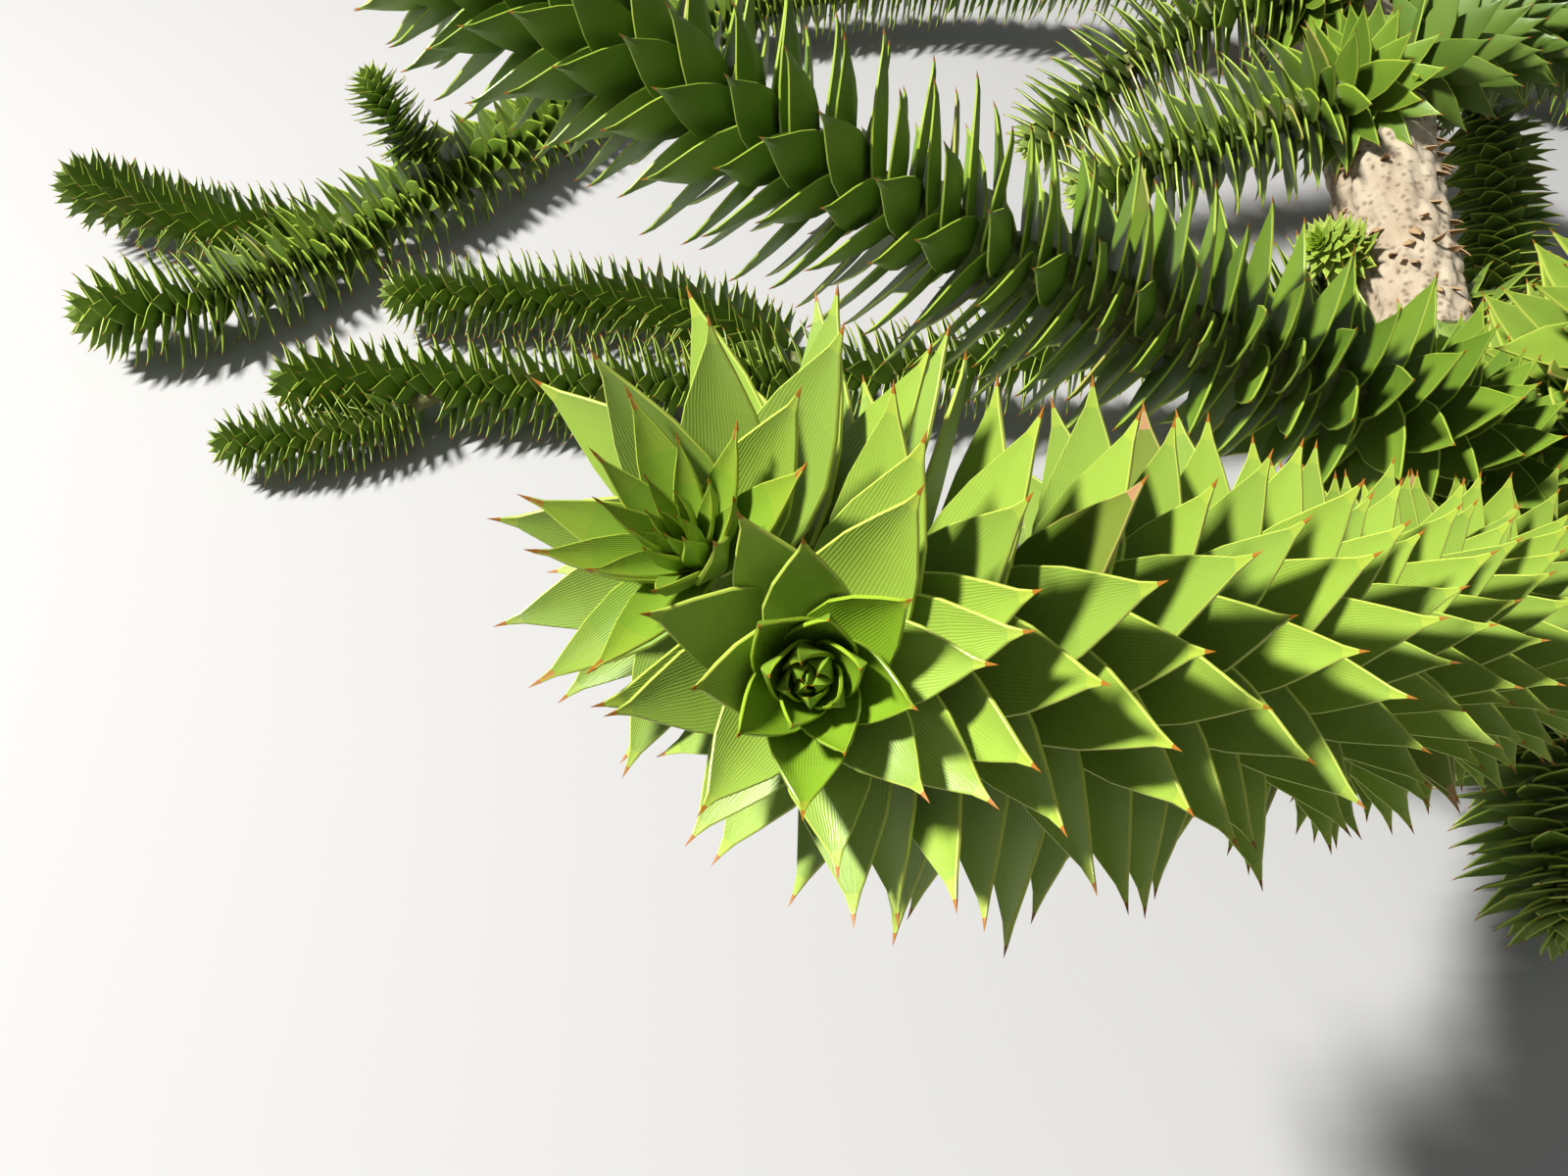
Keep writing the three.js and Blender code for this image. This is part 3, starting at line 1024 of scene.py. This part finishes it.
FRESH = (Tone.YOUNG, Tone.YOUNG_DEEP)
SHOOTS = (
    ShootPlan(
        "shoot_front", "limb", start=1.0, size=1.06,
        through=(
            (404, 520, 146), (390, 430, 160), (300, 335, 222), (211, 268, 290),
            (101, 195, 380), (32, 162, 426), (9, 147, 444), (5, 130, 460),
        ),
        closeness=1.2, spread=80.0, base=27.0, power=0.5, young=True, near=True, tones=FRESH,
        twin=Twin(
            start=0.9, leafy=0.85,
            through=((20, 188, 420), (-6, 181, 440), (-15, 165, 451), (-19, 159, 464)),
        ),
    ),
    ShootPlan(
        "shoot_behind", "shoot_front", start=0.2, size=1.0, closeness=1.0, spread=68.0, near=True,
        through=((291, 415, 257), (210, 410, 299), (66, 433, 350), (-90, 499, 406), (-160, 530, 432)),
    ),
    ShootPlan(
        "shoot_upright", "shoot_front", start=0.13, size=1.0, tones=FRESH,
        through=((388, 466, 236), (386, 436, 320), (400, 428, 404)),
    ),
    ShootPlan(
        "shoot_low_front", "shoot_front", start=0.16, size=0.9,
        through=((415, 395, 82), (398, 262, 55)),
    ),
    ShootPlan(
        "shoot_left_near", "limb", start=0.91, size=0.68,
        through=((210, 682, 92), (40, 702, 47), (-115, 697, 41), (-372, 699, 43)),
    ),
    ShootPlan(
        "shoot_left_near_twig", "shoot_left_near", start=0.84, size=0.5,
        through=((-322, 656, 33), (-404, 640, 36)),
    ),
    ShootPlan(
        "shoot_left_mid", "shoot_left_near", start=0.5, size=0.62,
        through=((-60, 772, 44), (-156, 806, 38), (-316, 811, 40)),
    ),
    ShootPlan(
        "shoot_left_arch", "limb", start=0.68, size=0.92,
        through=((382, 788, 222), (300, 768, 200), (204, 757, 166)),
    ),
    ShootPlan(
        "shoot_right_arch", "limb", start=0.66, size=0.95,
        through=((428, 808, 226), (486, 854, 224), (570, 890, 220), (712, 884, 216), (806, 850, 252)),
    ),
    ShootPlan(
        "shoot_right_droop", "limb", start=0.47, size=0.68,
        through=((520, 965, 152), (561, 918, 131), (559, 847, 97), (549, 783, 70), (523, 716, 55)),
    ),
    ShootPlan(
        "shoot_left_back", "limb", start=0.21, size=0.8,
        through=(
            (330, 1262, 98), (140, 1308, 70), (-20, 1285, 52), (-155, 1180, 50),
            (-222, 1065, 47), (-343, 914, 46), (-446, 802, 46), (-542, 768, 52),
        ),
        nodes=("shoot_left_back_root", "shoot_left_back"),
    ),
    ShootPlan(
        "shoot_left_back_twig", "shoot_left_back", start=0.82, size=0.62,
        through=((-470, 890, 50), (-612, 942, 58)),
    ),
    ShootPlan(
        "shoot_left_back_spur", "shoot_left_back", start=0.74, size=0.5,
        through=((-318, 955, 92), (-346, 978, 138)),
    ),
    ShootPlan(
        "shoot_right_back", "limb", start=0.25, size=0.85,
        through=((640, 1190, 92), (790, 1130, 54), (872, 980, 46)),
    ),
    ShootPlan(
        "shoot_right_near", "limb", start=0.935, size=0.86,
        through=((530, 600, 108), (700, 560, 50), (866, 500, 50)),
    ),
    ShootPlan(
        "sprout", "limb", start=0.9, size=0.42, young=True, tones=FRESH,
        through=((360, 668, 176), (334, 660, 192)),
    ),
    ShootPlan(
        "shoot_left_arch_back", "limb", start=0.56, size=0.9,
        through=((390, 935, 226), (304, 938, 192), (229, 915, 134), (198, 905, 112)),
    ),
)


@dataclass(frozen=True)
class Neighbour:
    """What a new leaf has to keep clear of: a stem, and how far its own leaves fill the space."""

    name: str
    line: Array
    radius: Array
    filled: Number = 0.0


@dataclass
class Surroundings:
    """The stems of the whole bough and the leaves that stand already."""

    neighbours: dict[str, Neighbour] = field(default_factory=dict)

    def clear(self, points: Array, own: str) -> Array:
        """Marks the leaves that touch nothing else.

        A point is clear of a stem when it is further from each place on its line than the radius
        there, and clear of its leaves when it is also outside the filled part of their reach.

        Args:
            points: A few points on each leaf.
            own: Name of the stem that the leaves belong to.

        Returns:
            True for each clear leaf.
        """
        keep = np.ones(len(points), bool)
        for name, other in self.neighbours.items():
            if name == own:
                continue
            apart = np.linalg.norm(points[:, :, None] - other.line[None, None], axis=-1)
            keep &= (apart > np.maximum(other.radius, other.filled)).all(axis=(1, 2))
        return keep


@dataclass(frozen=True)
class Strays:
    """Spreads of the leaves' departures from the rule, which grow behind the bud as ragged says.

    The turn round the stem is in radians, the scale is a share, and the rest is in degrees.
    """

    turn: float = 0.03
    scale: float = 0.045
    spread: float = 3.0
    curl: float = 4.0
    cup: float = 2.5
    twist: float = 5.0
    ragged: Law = Law(0.3, 1.0, 25.0, 1.0)


@dataclass
class Shoot:
    """One leafy shoot: its stem, its leaves and, on the front one, its second bud.

    Its order among the shoots turns its first leaf and seeds its strays, and its bearer is the
    line that it leaves. The radii tip and foot are a full shoot's, in millimetres, and other
    lengths are in metres. A leaf's foot sits in the stem at the share rooted of its radius. Other
    shoots' leaves keep off the stem by its margin, and out of the filled share of its leaves'
    reach. Leaves cross where one's part from the first share of crossing_from outwards meets
    another's from the second.
    """

    plan: ShootPlan
    order: int
    bearer: Path
    strays: Strays = Strays()
    tip: float = 5.0
    foot: float = 12.5
    rooted: float = 0.62
    least_cup: float = 4.0
    light_share: float = 0.55
    worn_share: float = 0.035
    worn_from: int = 60
    crowding: float = 0.75
    crowding_reach: float = 0.06
    margin: float = 0.0025
    filled: float = 0.5
    leeway: float = 0.008
    stances: tuple[float, ...] = (1.0, 0.74, 0.5)
    bud_length: float = 0.024
    crossing_from: tuple[float, float] = (0.6, 0.4)
    around: int = 24
    fewest_rings: int = 24
    ring_step: float = 0.003
    cushion: float = 0.05
    space_step: float = 0.006

    SEED = 100
    COARSE = 8  # a stem is measured from every eighth sample of its line
    # A tone, the last leaf that has it for sure, and how many more may.
    HEARTS = {Bud.ROSE: (Tone.BUD, 14, 8), Bud.TUFT: (Tone.TUFT, 22, 8)}
    AGES = ((Tone.YOUNG_DEEP, 34, 16), (Tone.YOUNG, 20, 10))

    def __post_init__(self) -> None:
        """Lays out the stems."""
        plan = self.plan
        self.random = np.random.default_rng(self.SEED + self.order)
        start = self.bearer.frames(np.array([plan.start * self.bearer.length])).at
        base = (plan.base or self.foot * plan.size) * MM
        tip = self.tip * plan.size * MM
        path = Path(np.vstack([start, placed(plan.through)]))
        self.stem = Stem(path, base, tip, plan.power)
        self.stems = [(plan.name, self.stem, Bud.ROSE, 1.0)]
        if plan.twin:
            start = np.array([plan.twin.start * path.length])
            fork = Path(np.vstack([path.frames(start).at, placed(plan.twin.through)]))
            twin = Stem(fork, float(self.stem.radius(start)[0]), tip, 1.0)
            self.stems.append((f"{plan.name}_twin", twin, Bud.TUFT, plan.twin.leafy))

    def leaves(self, name: str, stem: Stem, bud: Bud, leafy: float) -> LeafBatch:
        """Leaves of one stem, before any is left out.

        Args:
            name: The stem's name.
            stem: The stem.
            bud: The form of its bud.
            leafy: Share of the stem that bears leaves.

        Returns:
            A batch from the bud backwards.
        """
        size, growth, strays = self.plan.size, bud.value, self.strays
        spiral = Spiral(self.plan.pitch_scale, growth)
        number = spiral.numbers(stem.path.length * leafy)
        ragged = strays.ragged.at(number)
        distance = stem.path.length - spiral.places(number)
        frames = stem.path.frames(distance)
        turn = self.order + np.arange(len(number)) * GOLDEN_ANGLE + self.stray(strays.turn, ragged)
        radial = frames.radial(turn)
        radius = stem.radius(distance) * stem.dome(distance)
        scale = size * MM * (1 + self.stray(strays.scale, ragged))
        spread = self.plan.spread * growth.spread.at(number) * self.room(name, frames.at, radial)
        spread = spread + self.stray(strays.spread, ragged)
        curl = growth.curl.at(number) + self.stray(strays.curl, ragged)
        cup = growth.cup.at(number) + self.stray(strays.cup, ragged)
        return LeafBatch(
            root=frames.at + radial * (radius * self.rooted)[:, None],
            along=frames.along,
            radial=radial,
            length=scale * growth.length.at(number),
            width=scale * growth.width.at(number),
            root_angle=np.radians(spread + curl / 2),
            tip_angle=np.radians(spread - curl / 2),
            cup=np.radians(np.maximum(cup, self.least_cup)),
            twist=np.radians(self.stray(strays.twist, ragged)),
            thickness=growth.thickness.at(number) * size * MM,
            tone=self.tones(number, bud),
        )

    def stray(self, spread: float, ragged: Array) -> Array:
        """How far each leaf departs from the rule: a normal number of this spread times ragged."""
        return self.random.normal(0, spread, len(ragged)) * ragged

    def room(self, name: str, at: Array, radial: Array) -> Array:
        """Share of its full spread that a leaf keeps beside the other stem of a forked shoot.

        It is 1 - crowding * facing^2 * exp(-(apart / crowding_reach)^2), where facing is how
        squarely the leaf points at the other stem.

        Args:
            name: The leaf's own stem.
            at: Where the leaves sit.
            radial: Which way they point from the stem.

        Returns:
            The share for each leaf, 1 on a shoot with one stem.
        """
        share = np.ones(len(at))
        for other_name, other, _, _ in self.stems:
            if other_name == name:
                continue
            gap = other.path.line[None] - at[:, None]
            apart = np.linalg.norm(gap, axis=-1)
            nearest = apart.argmin(axis=1)
            gap, apart = gap[np.arange(len(at)), nearest], apart.min(axis=1)
            facing = np.clip((radial * gap).sum(axis=1) / np.maximum(apart, 1e-6), 0, 1)
            share *= 1 - self.crowding * facing**2 * np.exp(-((apart / self.crowding_reach) ** 2))
        return share

    def own_side(self, name: str, points: Array) -> Array:
        """Marks the leaves that stay on their own stem's side of a fork.

        Every point of such a leaf is nearer to its own stem than to the other one, give or take
        the leeway.

        Args:
            name: The leaves' own stem.
            points: A few points on each leaf.

        Returns:
            True for each leaf that does.
        """
        apart = {}
        for stem_name, stem, _, _ in self.stems:
            gaps = points[:, :, None] - stem.path.line[:: self.COARSE]
            apart[stem_name] = np.linalg.norm(gaps, axis=-1).min(axis=-1)
        keep = np.ones(len(points), bool)
        for other_name, distance in apart.items():
            if other_name != name:
                keep &= (distance > apart[name] - self.leeway).all(axis=1)
        return keep

    def crossing(self, shape: LeafShape, leaves: LeafBatch) -> Array:
        """Marks the leaves whose fore part runs through the outer part of another that stays.

        Args:
            shape: The leaves' outline.
            leaves: The leaves, of which those of the bud are never marked.

        Returns:
            True for each such leaf.
        """
        vertices = shape.vertices(leaves)
        walls = shape.faces(len(vertices))[0][0]
        tree = BVHTree.FromPolygons(vertices.reshape(-1, 3).tolist(), walls.tolist())
        pairs = np.array(tree.overlap(tree), int).reshape(-1, 2)
        leaf, ring = np.divmod(pairs, len(walls) // len(vertices))
        start = np.array(shape.stations)[ring // shape.around]
        meets = (leaf[:, 0] != leaf[:, 1]) & (start >= self.crossing_from).all(axis=1)
        meets &= leaves.length[leaf[:, 0]] >= self.bud_length
        crosses = np.zeros(len(vertices), bool)
        for one, other in np.unique(leaf[meets], axis=0)[::-1]:
            crosses[one] |= not crosses[other]
        return crosses

    def tones(self, number: Array, bud: Bud) -> Array:
        """Deals a tone to each leaf by its number and the shoot's age.

        A young shoot has a heart of its bud's own tone, and the others pale towards their bud.

        Args:
            number: Numbers of the leaves, from the bud.
            bud: The form of the bud, as the leaves of a tuft have brown points.

        Returns:
            Row of the tone of each.
        """
        rows = {tone: row for row, tone in enumerate(Tone)}
        draw = self.random.random(len(number))
        light, deep = (rows[tone] for tone in self.plan.tones)
        tone = np.where(draw < self.light_share, light, deep)
        for fresher, sure, more in [self.HEARTS[bud]] if self.plan.young else self.AGES:
            tone = np.where(number < sure + more * draw, rows[fresher], tone)
        worn = (self.random.random(len(number)) < self.worn_share) & (number > self.worn_from)
        return np.where(worn, rows[Tone.WORN], tone)

    def neighbours(self) -> list[Neighbour]:
        """The shoot's stems as others have to respect them, with no leaves yet."""
        found = []
        for name, stem, _, _ in self.stems:
            length = stem.path.length
            distance = np.linspace(0, length, int(length / self.space_step) + 2)
            radius = stem.radius(distance) + self.margin
            found.append(Neighbour(name, stem.path.frames(distance).at, radius))
        return found

    def fill(self, surroundings: Surroundings) -> None:
        """Marks the space that this shoot's leaves take up."""
        for name, stem, bud, _ in self.stems:
            before = surroundings.neighbours[name]
            growth = bud.value
            behind = stem.path.length - np.linspace(0, stem.path.length, len(before.line))
            number = Spiral(self.plan.pitch_scale, growth).number(behind)
            length = growth.length.at(number) * self.plan.size * MM
            spread = np.radians(self.plan.spread * growth.spread.at(number))
            filled = before.radius + self.filled * length * np.sin(spread)
            surroundings.neighbours[name] = replace(before, filled=filled)

    def build(self, surroundings: Surroundings, palette: Palette, skins: dict[str, Material]) -> None:
        """Makes the shoot's stem and leaves.

        A leaf that has no room at its full spread is tried at closer stances, and left out if it
        fits at none.

        Args:
            surroundings: What its leaves keep clear of.
            palette: The leaf finishes.
            skins: The stem finishes.
        """
        plan = self.plan
        shape = NEAR_LEAF if plan.near else FAR_LEAF
        batches = []
        for name, stem, bud, leafy in self.stems:
            leaves = self.leaves(name, stem, bud, leafy)
            for share in self.stances:
                pressed = leaves.pressed(share)
                vertices = shape.vertices(pressed)
                points = shape.midline(vertices)[:, 1:]
                fits = vertices[..., 2].min(axis=1) > FLOOR_GAP
                fits &= surroundings.clear(points, name) & self.own_side(name, points)
                batches.append(pressed.kept(fits))
                leaves = leaves.kept(~fits)
        leaves = LeafBatch.joined(batches)
        slot = "young_foliage" if plan.young else "foliage"
        if plan.near:
            crosses = self.crossing(shape, leaves)
            LOG.info("%s: %d crossing leaves left out of %d", plan.name, crosses.sum(), len(crosses))
            leaves = leaves.kept(~crosses)
            in_bud = leaves.length < self.bud_length
            piece = Piece(f"{plan.name}_bud_leaves", slot, plan.replaced)
            BUD_LEAF.build(piece, leaves.kept(in_bud), palette)
            leaves = leaves.kept(~in_bud)
        shape.build(Piece(f"{plan.name}_leaves", slot, plan.replaced), leaves, palette)
        for name, stem, _, _ in self.stems:
            self.build_stem(name, stem, skins["young" if plan.young else "grown"], slot)
        self.fill(surroundings)

    def build_stem(self, name: str, stem: Stem, skin: Material, slot: str) -> None:
        """Makes one stem, swollen under each leaf.

        Its surface is a tube, whose radius is the stem's times 1 + cushion * the cushions.

        Args:
            name: Name of the stem.
            stem: The stem.
            skin: Its finish.
            slot: The record's slot.
        """
        length = stem.path.length
        distance = np.linspace(0, length, max(self.fewest_rings, int(length / self.ring_step)))
        turn = np.linspace(0, TURN, self.around, endpoint=False)
        spiral = Spiral(self.plan.pitch_scale, Bud.ROSE.value)
        swell = 1 + self.cushion * spiral.cushions((length - distance)[:, None], turn[None], self.order)
        radius = (stem.radius(distance) * stem.dome(distance))[:, None] * swell
        vertices, _ = stem.path.tube(distance, turn, radius)
        faces, uv = tube_faces(len(distance), self.around)
        obj = mesh_object(f"{name}_stem", vertices, faces, uv, [skin])
        Piece(f"{name}_stem", slot, self.plan.replaced).join_frame(obj)


@dataclass
class Limb:
    """The bare limb: bark over old leaf scars, collars round its shoots, and a sawn end.

    Its two radii are in millimetres and other lengths in metres. Collars are in shares of their
    shoot's radius, the cut's share and pith in shares of the limb's. The bark goes on past the
    axis by the overhang, and its scars are counted from a little further on.
    """

    axis: tuple[Point, ...] = (
        (540, 1385, 49), (485, 1180, 112), (442, 900, 176), (415, 760, 172), (400, 600, 152),
    )
    sawn_radius: float = 50.0
    leafy_radius: float = 27.0
    rings: int = 400
    around: int = 160
    overhang: float = 0.004
    lowest: float = 0.0003
    scars_from: float = 0.005
    scar_turn: float = 0.4
    scar_stretch: float = 1.5
    scar_depth: float = 0.036
    scar_edge: float = 1.2
    scar_level: float = 0.4
    ripples: int = 14
    ripples_round: int = 9
    ripples_along: tuple[float, float] = (90, 420)
    ripple_bend: tuple[float, float] = (0.5, 2.0)
    ripple_phase: float = 6.3
    ripple_height: float = 0.0003
    collar_height: float = 0.45
    collar_reach: float = 1.5
    cut_share: float = 0.9
    cut_rings: int = 24
    cut_pith: float = 0.02
    cut_proud: float = 0.0004
    cut_rim: float = 0.0001
    cut_depth: float = 0.006
    space_stations: int = 160
    space_margin: float = 0.001

    SEED = 7

    def __post_init__(self) -> None:
        """Lays out the axis."""
        self.path = Path(placed(self.axis))

    def radius(self, distance: Array) -> Array:
        """Radius without its relief: sawn + (leafy - sawn) * share^2."""
        share = np.clip(distance / self.path.length, 0, 1)
        return (self.sawn_radius + (self.leafy_radius - self.sawn_radius) * share**2) * MM

    def neighbour(self) -> Neighbour:
        """The limb as leaves have to respect it."""
        distance = np.linspace(0, self.path.length, self.space_stations)
        radius = self.radius(distance) + self.space_margin
        return Neighbour("limb", self.path.frames(distance).at, radius)

    def collars(self, points: Array, joints: Sequence[tuple[Array, float]]) -> Array:
        """Swelling round the foot of every shoot: the sum of height b * exp(-(d / (reach b))^2).

        Args:
            points: Points on the bare surface, at distances d from the foot.
            joints: For each shoot, where it comes out and its base radius b.

        Returns:
            How far each point is pushed out.
        """
        out = np.zeros(len(points))
        for place, base in joints:
            away = np.linalg.norm(points - place, axis=1)
            out += self.collar_height * base * np.exp(-((away / (self.collar_reach * base)) ** 2))
        return out

    def relief(self, distance: Array, turn: Array) -> tuple[Array, Array]:
        """Relief of the bark: its leaf scars as a share of the radius, and its wrinkles in metres.

        Scars are depth * (tanh(edge * cushions) - level) over the spiral's cushions, and wrinkles
        the sum of height * cos(a * distance + n * turn + phase + bend * sin(2 * turn + phase)),
        where a, n, bend and phases are random for each ripple.

        Args:
            distance: Distances from the sawn end, in a column.
            turn: Angles round the limb, in a row.

        Returns:
            Scars and wrinkles.
        """
        random = np.random.default_rng(self.SEED)
        spiral = Spiral(self.scar_stretch, Bud.ROSE.value)
        behind = self.path.length + self.scars_from - distance
        scars = np.tanh(spiral.cushions(behind, turn, self.scar_turn) * self.scar_edge)
        ripple = np.zeros((distance.size, turn.size))
        for _ in range(self.ripples):
            sweep = int(random.integers(0, self.ripples_round)) * turn
            run = random.uniform(*self.ripples_along) * distance
            phase = random.uniform(0, TURN)
            bend = random.uniform(*self.ripple_bend)
            ripple += np.cos(
                run + sweep + phase + bend * np.sin(2 * turn + random.uniform(0, self.ripple_phase))
            )
        return self.scar_depth * (scars - self.scar_level), self.ripple_height * ripple

    def build(self, joints: Sequence[tuple[Array, float]], bark: Material, wood: Material) -> None:
        """Makes the bark and the sawn end.

        The bark's surface is a tube, whose radius is the limb's with its relief and its collars.

        Args:
            joints: Where shoots come out, each with its base radius.
            bark: Finish of the bark.
            wood: Finish of the cut.
        """
        distance = np.linspace(0, self.path.length + self.overhang, self.rings)
        turn = np.linspace(0, TURN, self.around, endpoint=False)
        scars, wrinkles = self.relief(distance[:, None], turn[None])
        body = self.radius(distance)[:, None] * (1 + scars) + wrinkles
        bare, radial = self.path.tube(distance, turn, body)
        vertices = bare + radial * self.collars(bare, joints)[:, None]
        vertices[:, 2] = np.maximum(vertices[:, 2], self.lowest)
        faces, uv = tube_faces(self.rings, self.around)
        obj = mesh_object("limb_bark", vertices, faces, uv, [bark], crease=60.0)
        Piece("limb_bark", "bark", ("limb",)).join_frame(obj)
        self.build_cut(vertices[: self.around], wood)

    def build_cut(self, outline: Array, wood: Material) -> None:
        """Makes the sawn face: a thin puck inside the bark, with the limb's own outline.

        Rings of it are centre + q * (outline - centre), for q from almost 0 to cut_share, and
        its back is the same ring moved into the limb.

        Args:
            outline: The bark's first ring.
            wood: Its finish.
        """
        centre = outline.mean(axis=0)
        inward = self.path.frames(np.array([0.0])).along[0]
        shares = np.linspace(self.cut_pith, self.cut_share, self.cut_rings)
        shares = np.append(shares, self.cut_share)[::-1, None, None]
        depth = np.full(shares.shape, -self.cut_proud)
        depth[:2, 0, 0] = self.cut_depth, -self.cut_rim
        vertices = (centre + shares * (outline - centre) + depth * inward).reshape(-1, 3)
        faces, _ = tube_faces(len(shares), len(outline))
        faces = [block[:, ::-1] for block in faces]
        flat = (vertices - centre) - ((vertices - centre) @ inward)[:, None] * inward
        radius = np.linalg.norm(flat, axis=1)
        uv = np.stack([radius, np.zeros_like(radius)], -1)
        corners = np.concatenate([block.ravel() for block in faces])
        obj = mesh_object("limb_sawn_end", vertices, faces, uv[corners], [wood])
        Piece("limb_sawn_end", "bark", ("limb",)).join_frame(obj)


@dataclass(frozen=True)
class DryLeaves:
    """The dead brown leaf ends that cling to the bark towards the whorl.

    Their lengths are in metres and their angles in degrees, apart from the stray round the limb,
    which is in radians. A leaf sits at 1 - reach * random^crowding of the limb.
    """

    count: int = 140
    reach: float = 0.5
    crowding: float = 1.3
    turn_stray: float = 0.1
    rooted: float = 0.97
    lean: tuple[float, float] = (30, 62)
    length: tuple[float, float] = (0.006, 0.017)
    width: tuple[float, float] = (0.004, 0.009)
    curl: tuple[float, float] = (-20, 20)
    cup: tuple[float, float] = (25, 60)
    twist_stray: float = 22.0
    thickness: float = 0.0014

    SEED = 23

    def build(self, limb: Limb, palette: Palette) -> None:
        """Makes them.

        Args:
            limb: The limb that they sit on.
            palette: The leaf finishes.
        """
        random = np.random.default_rng(self.SEED)
        count = self.count
        distance = limb.path.length * (1 - self.reach * random.random(count) ** self.crowding)
        turn = np.arange(count) * GOLDEN_ANGLE + random.normal(0, self.turn_stray, count)
        frames = limb.path.frames(distance)
        radial = frames.radial(turn)
        lean = random.uniform(*self.lean, count)
        leaves = LeafBatch(
            root=frames.at + radial * (limb.radius(distance) * self.rooted)[:, None],
            along=frames.along,
            radial=radial,
            length=random.uniform(*self.length, count),
            width=random.uniform(*self.width, count),
            root_angle=np.radians(lean),
            tip_angle=np.radians(lean + random.uniform(*self.curl, count)),
            cup=np.radians(random.uniform(*self.cup, count)),
            twist=np.radians(random.normal(0, self.twist_stray, count)),
            thickness=np.full(count, self.thickness),
            tone=np.full(count, list(Tone).index(Tone.DRY)),
        )
        FAR_LEAF.build(Piece("limb_dry_leaves", "bark", ("limb",)), leaves, palette)


@dataclass(frozen=True)
class Lamp:
    """A square light: the way to it, how far off it hangs, its side and its power in watts."""

    name: str
    direction: Point
    distance: float
    side: float
    power: float

    def hang(self, target: Point) -> None:
        """Hangs the light so that it faces the target."""
        towards = Vector(self.direction).normalized()
        data = bpy.data.lights.new(self.name, "AREA")
        data.size = self.side
        data.energy = self.power
        light = linked(self.name, data)
        light.location = Vector(target) + towards * self.distance
        light.rotation_euler = towards.to_track_quat("Z", "Y").to_euler()


@dataclass(frozen=True)
class Studio:
    """Pale floor, soft light from the upper left and the camera."""

    camera_at: Point = (-0.1355, -0.7548, 0.6389)
    camera_tilt: float = 40.0
    lens: float = 28.1
    sensor: float = 36.0
    nearest: float = 0.01
    floor_half: float = 20.0
    floor_color: Color = (0.42, 0.412, 0.40)
    floor_roughness: float = 0.9
    lamps: tuple[Lamp, ...] = (
        Lamp("key_light", (-0.62, -0.03, 0.78), distance=4.0, side=0.42, power=370.0),
        Lamp("top_light", (0.3, -0.35, 0.9), distance=2.6, side=2.4, power=7.0),
    )
    target: Point = (0.0, -0.35, 0.3)
    sky_color: Color = (0.9, 0.95, 1.0)
    sky: float = 0.16

    def build(self) -> None:
        """Builds floor, lights, world and camera."""
        self._floor()
        for lamp in self.lamps:
            lamp.hang(self.target)
        world = bpy.data.worlds.new("studio")
        world.use_nodes = True
        background = world.node_tree.nodes["Background"]
        preset(background, {"Color": (*self.sky_color, 1.0), "Strength": self.sky})
        bpy.context.scene.world = world
        bpy.context.scene.view_settings.view_transform = "Standard"
        self._camera()

    def _camera(self) -> None:
        """Sets up the camera, which looks north and down."""
        data = bpy.data.cameras.new("camera")
        data.lens = self.lens
        data.sensor_width = self.sensor
        data.clip_start = self.nearest
        camera = linked("camera", data)
        camera.location = self.camera_at
        camera.rotation_euler = (math.radians(self.camera_tilt), 0.0, 0.0)
        bpy.context.scene.camera = camera

    def _floor(self) -> None:
        """Makes the floor, a plane at the ground."""
        corners = np.array([(-1, -1, 0), (1, -1, 0), (1, 1, 0), (-1, 1, 0)]) * self.floor_half
        skin = Surface("studio_floor", self.floor_color, self.floor_roughness).material
        mesh_object("studio_floor", corners, [np.arange(4)[None]], corners[:, :2], [skin])


class Bough:
    """The whole bough: its limb, its shoots and the space that they share."""

    def __init__(self) -> None:
        """Lays out the limb and every shoot on the one that bears it."""
        self.limb = Limb()
        paths = {"limb": self.limb.path}
        self.shoots: list[Shoot] = []
        for order, plan in enumerate(SHOOTS):
            shoot = Shoot(plan, order, paths[plan.bearer])
            paths[plan.name] = shoot.stem.path
            self.shoots.append(shoot)
        self.surroundings = Surroundings({"limb": self.limb.neighbour()})
        for shoot in self.shoots:
            for neighbour in shoot.neighbours():
                self.surroundings.neighbours[neighbour.name] = neighbour

    def joints(self) -> list[tuple[Array, float]]:
        """Where shoots come out of the limb's side, each with its base radius."""
        found = []
        for shoot in self.shoots:
            if shoot.plan.bearer == "limb" and shoot.plan.start < 1:
                depth = self.limb.radius(np.array([shoot.plan.start * self.limb.path.length]))
                found.append((shoot.stem.path.frames(depth).at[0], shoot.stem.base))
        return found

    def build(self, effects: Effects) -> None:
        """Makes every piece of the bough.

        Args:
            effects: The shared patterns.
        """
        palette = Palette(effects)
        skins = {"young": YOUNG_STEM.material(effects), "grown": GROWN_STEM.material(effects)}
        self.limb.build(self.joints(), LIMB_BARK.material(effects), CutWood().material(effects))
        DryLeaves().build(self.limb, palette)
        for shoot in self.shoots:
            shoot.build(self.surroundings, palette, skins)


def main() -> None:
    """Builds the studio and the bough, piece by piece."""
    logging.basicConfig(level=logging.INFO, format="%(name)s %(message)s")
    Studio().build()
    Bough().build(Effects())


if __name__ == "__main__":
    main()
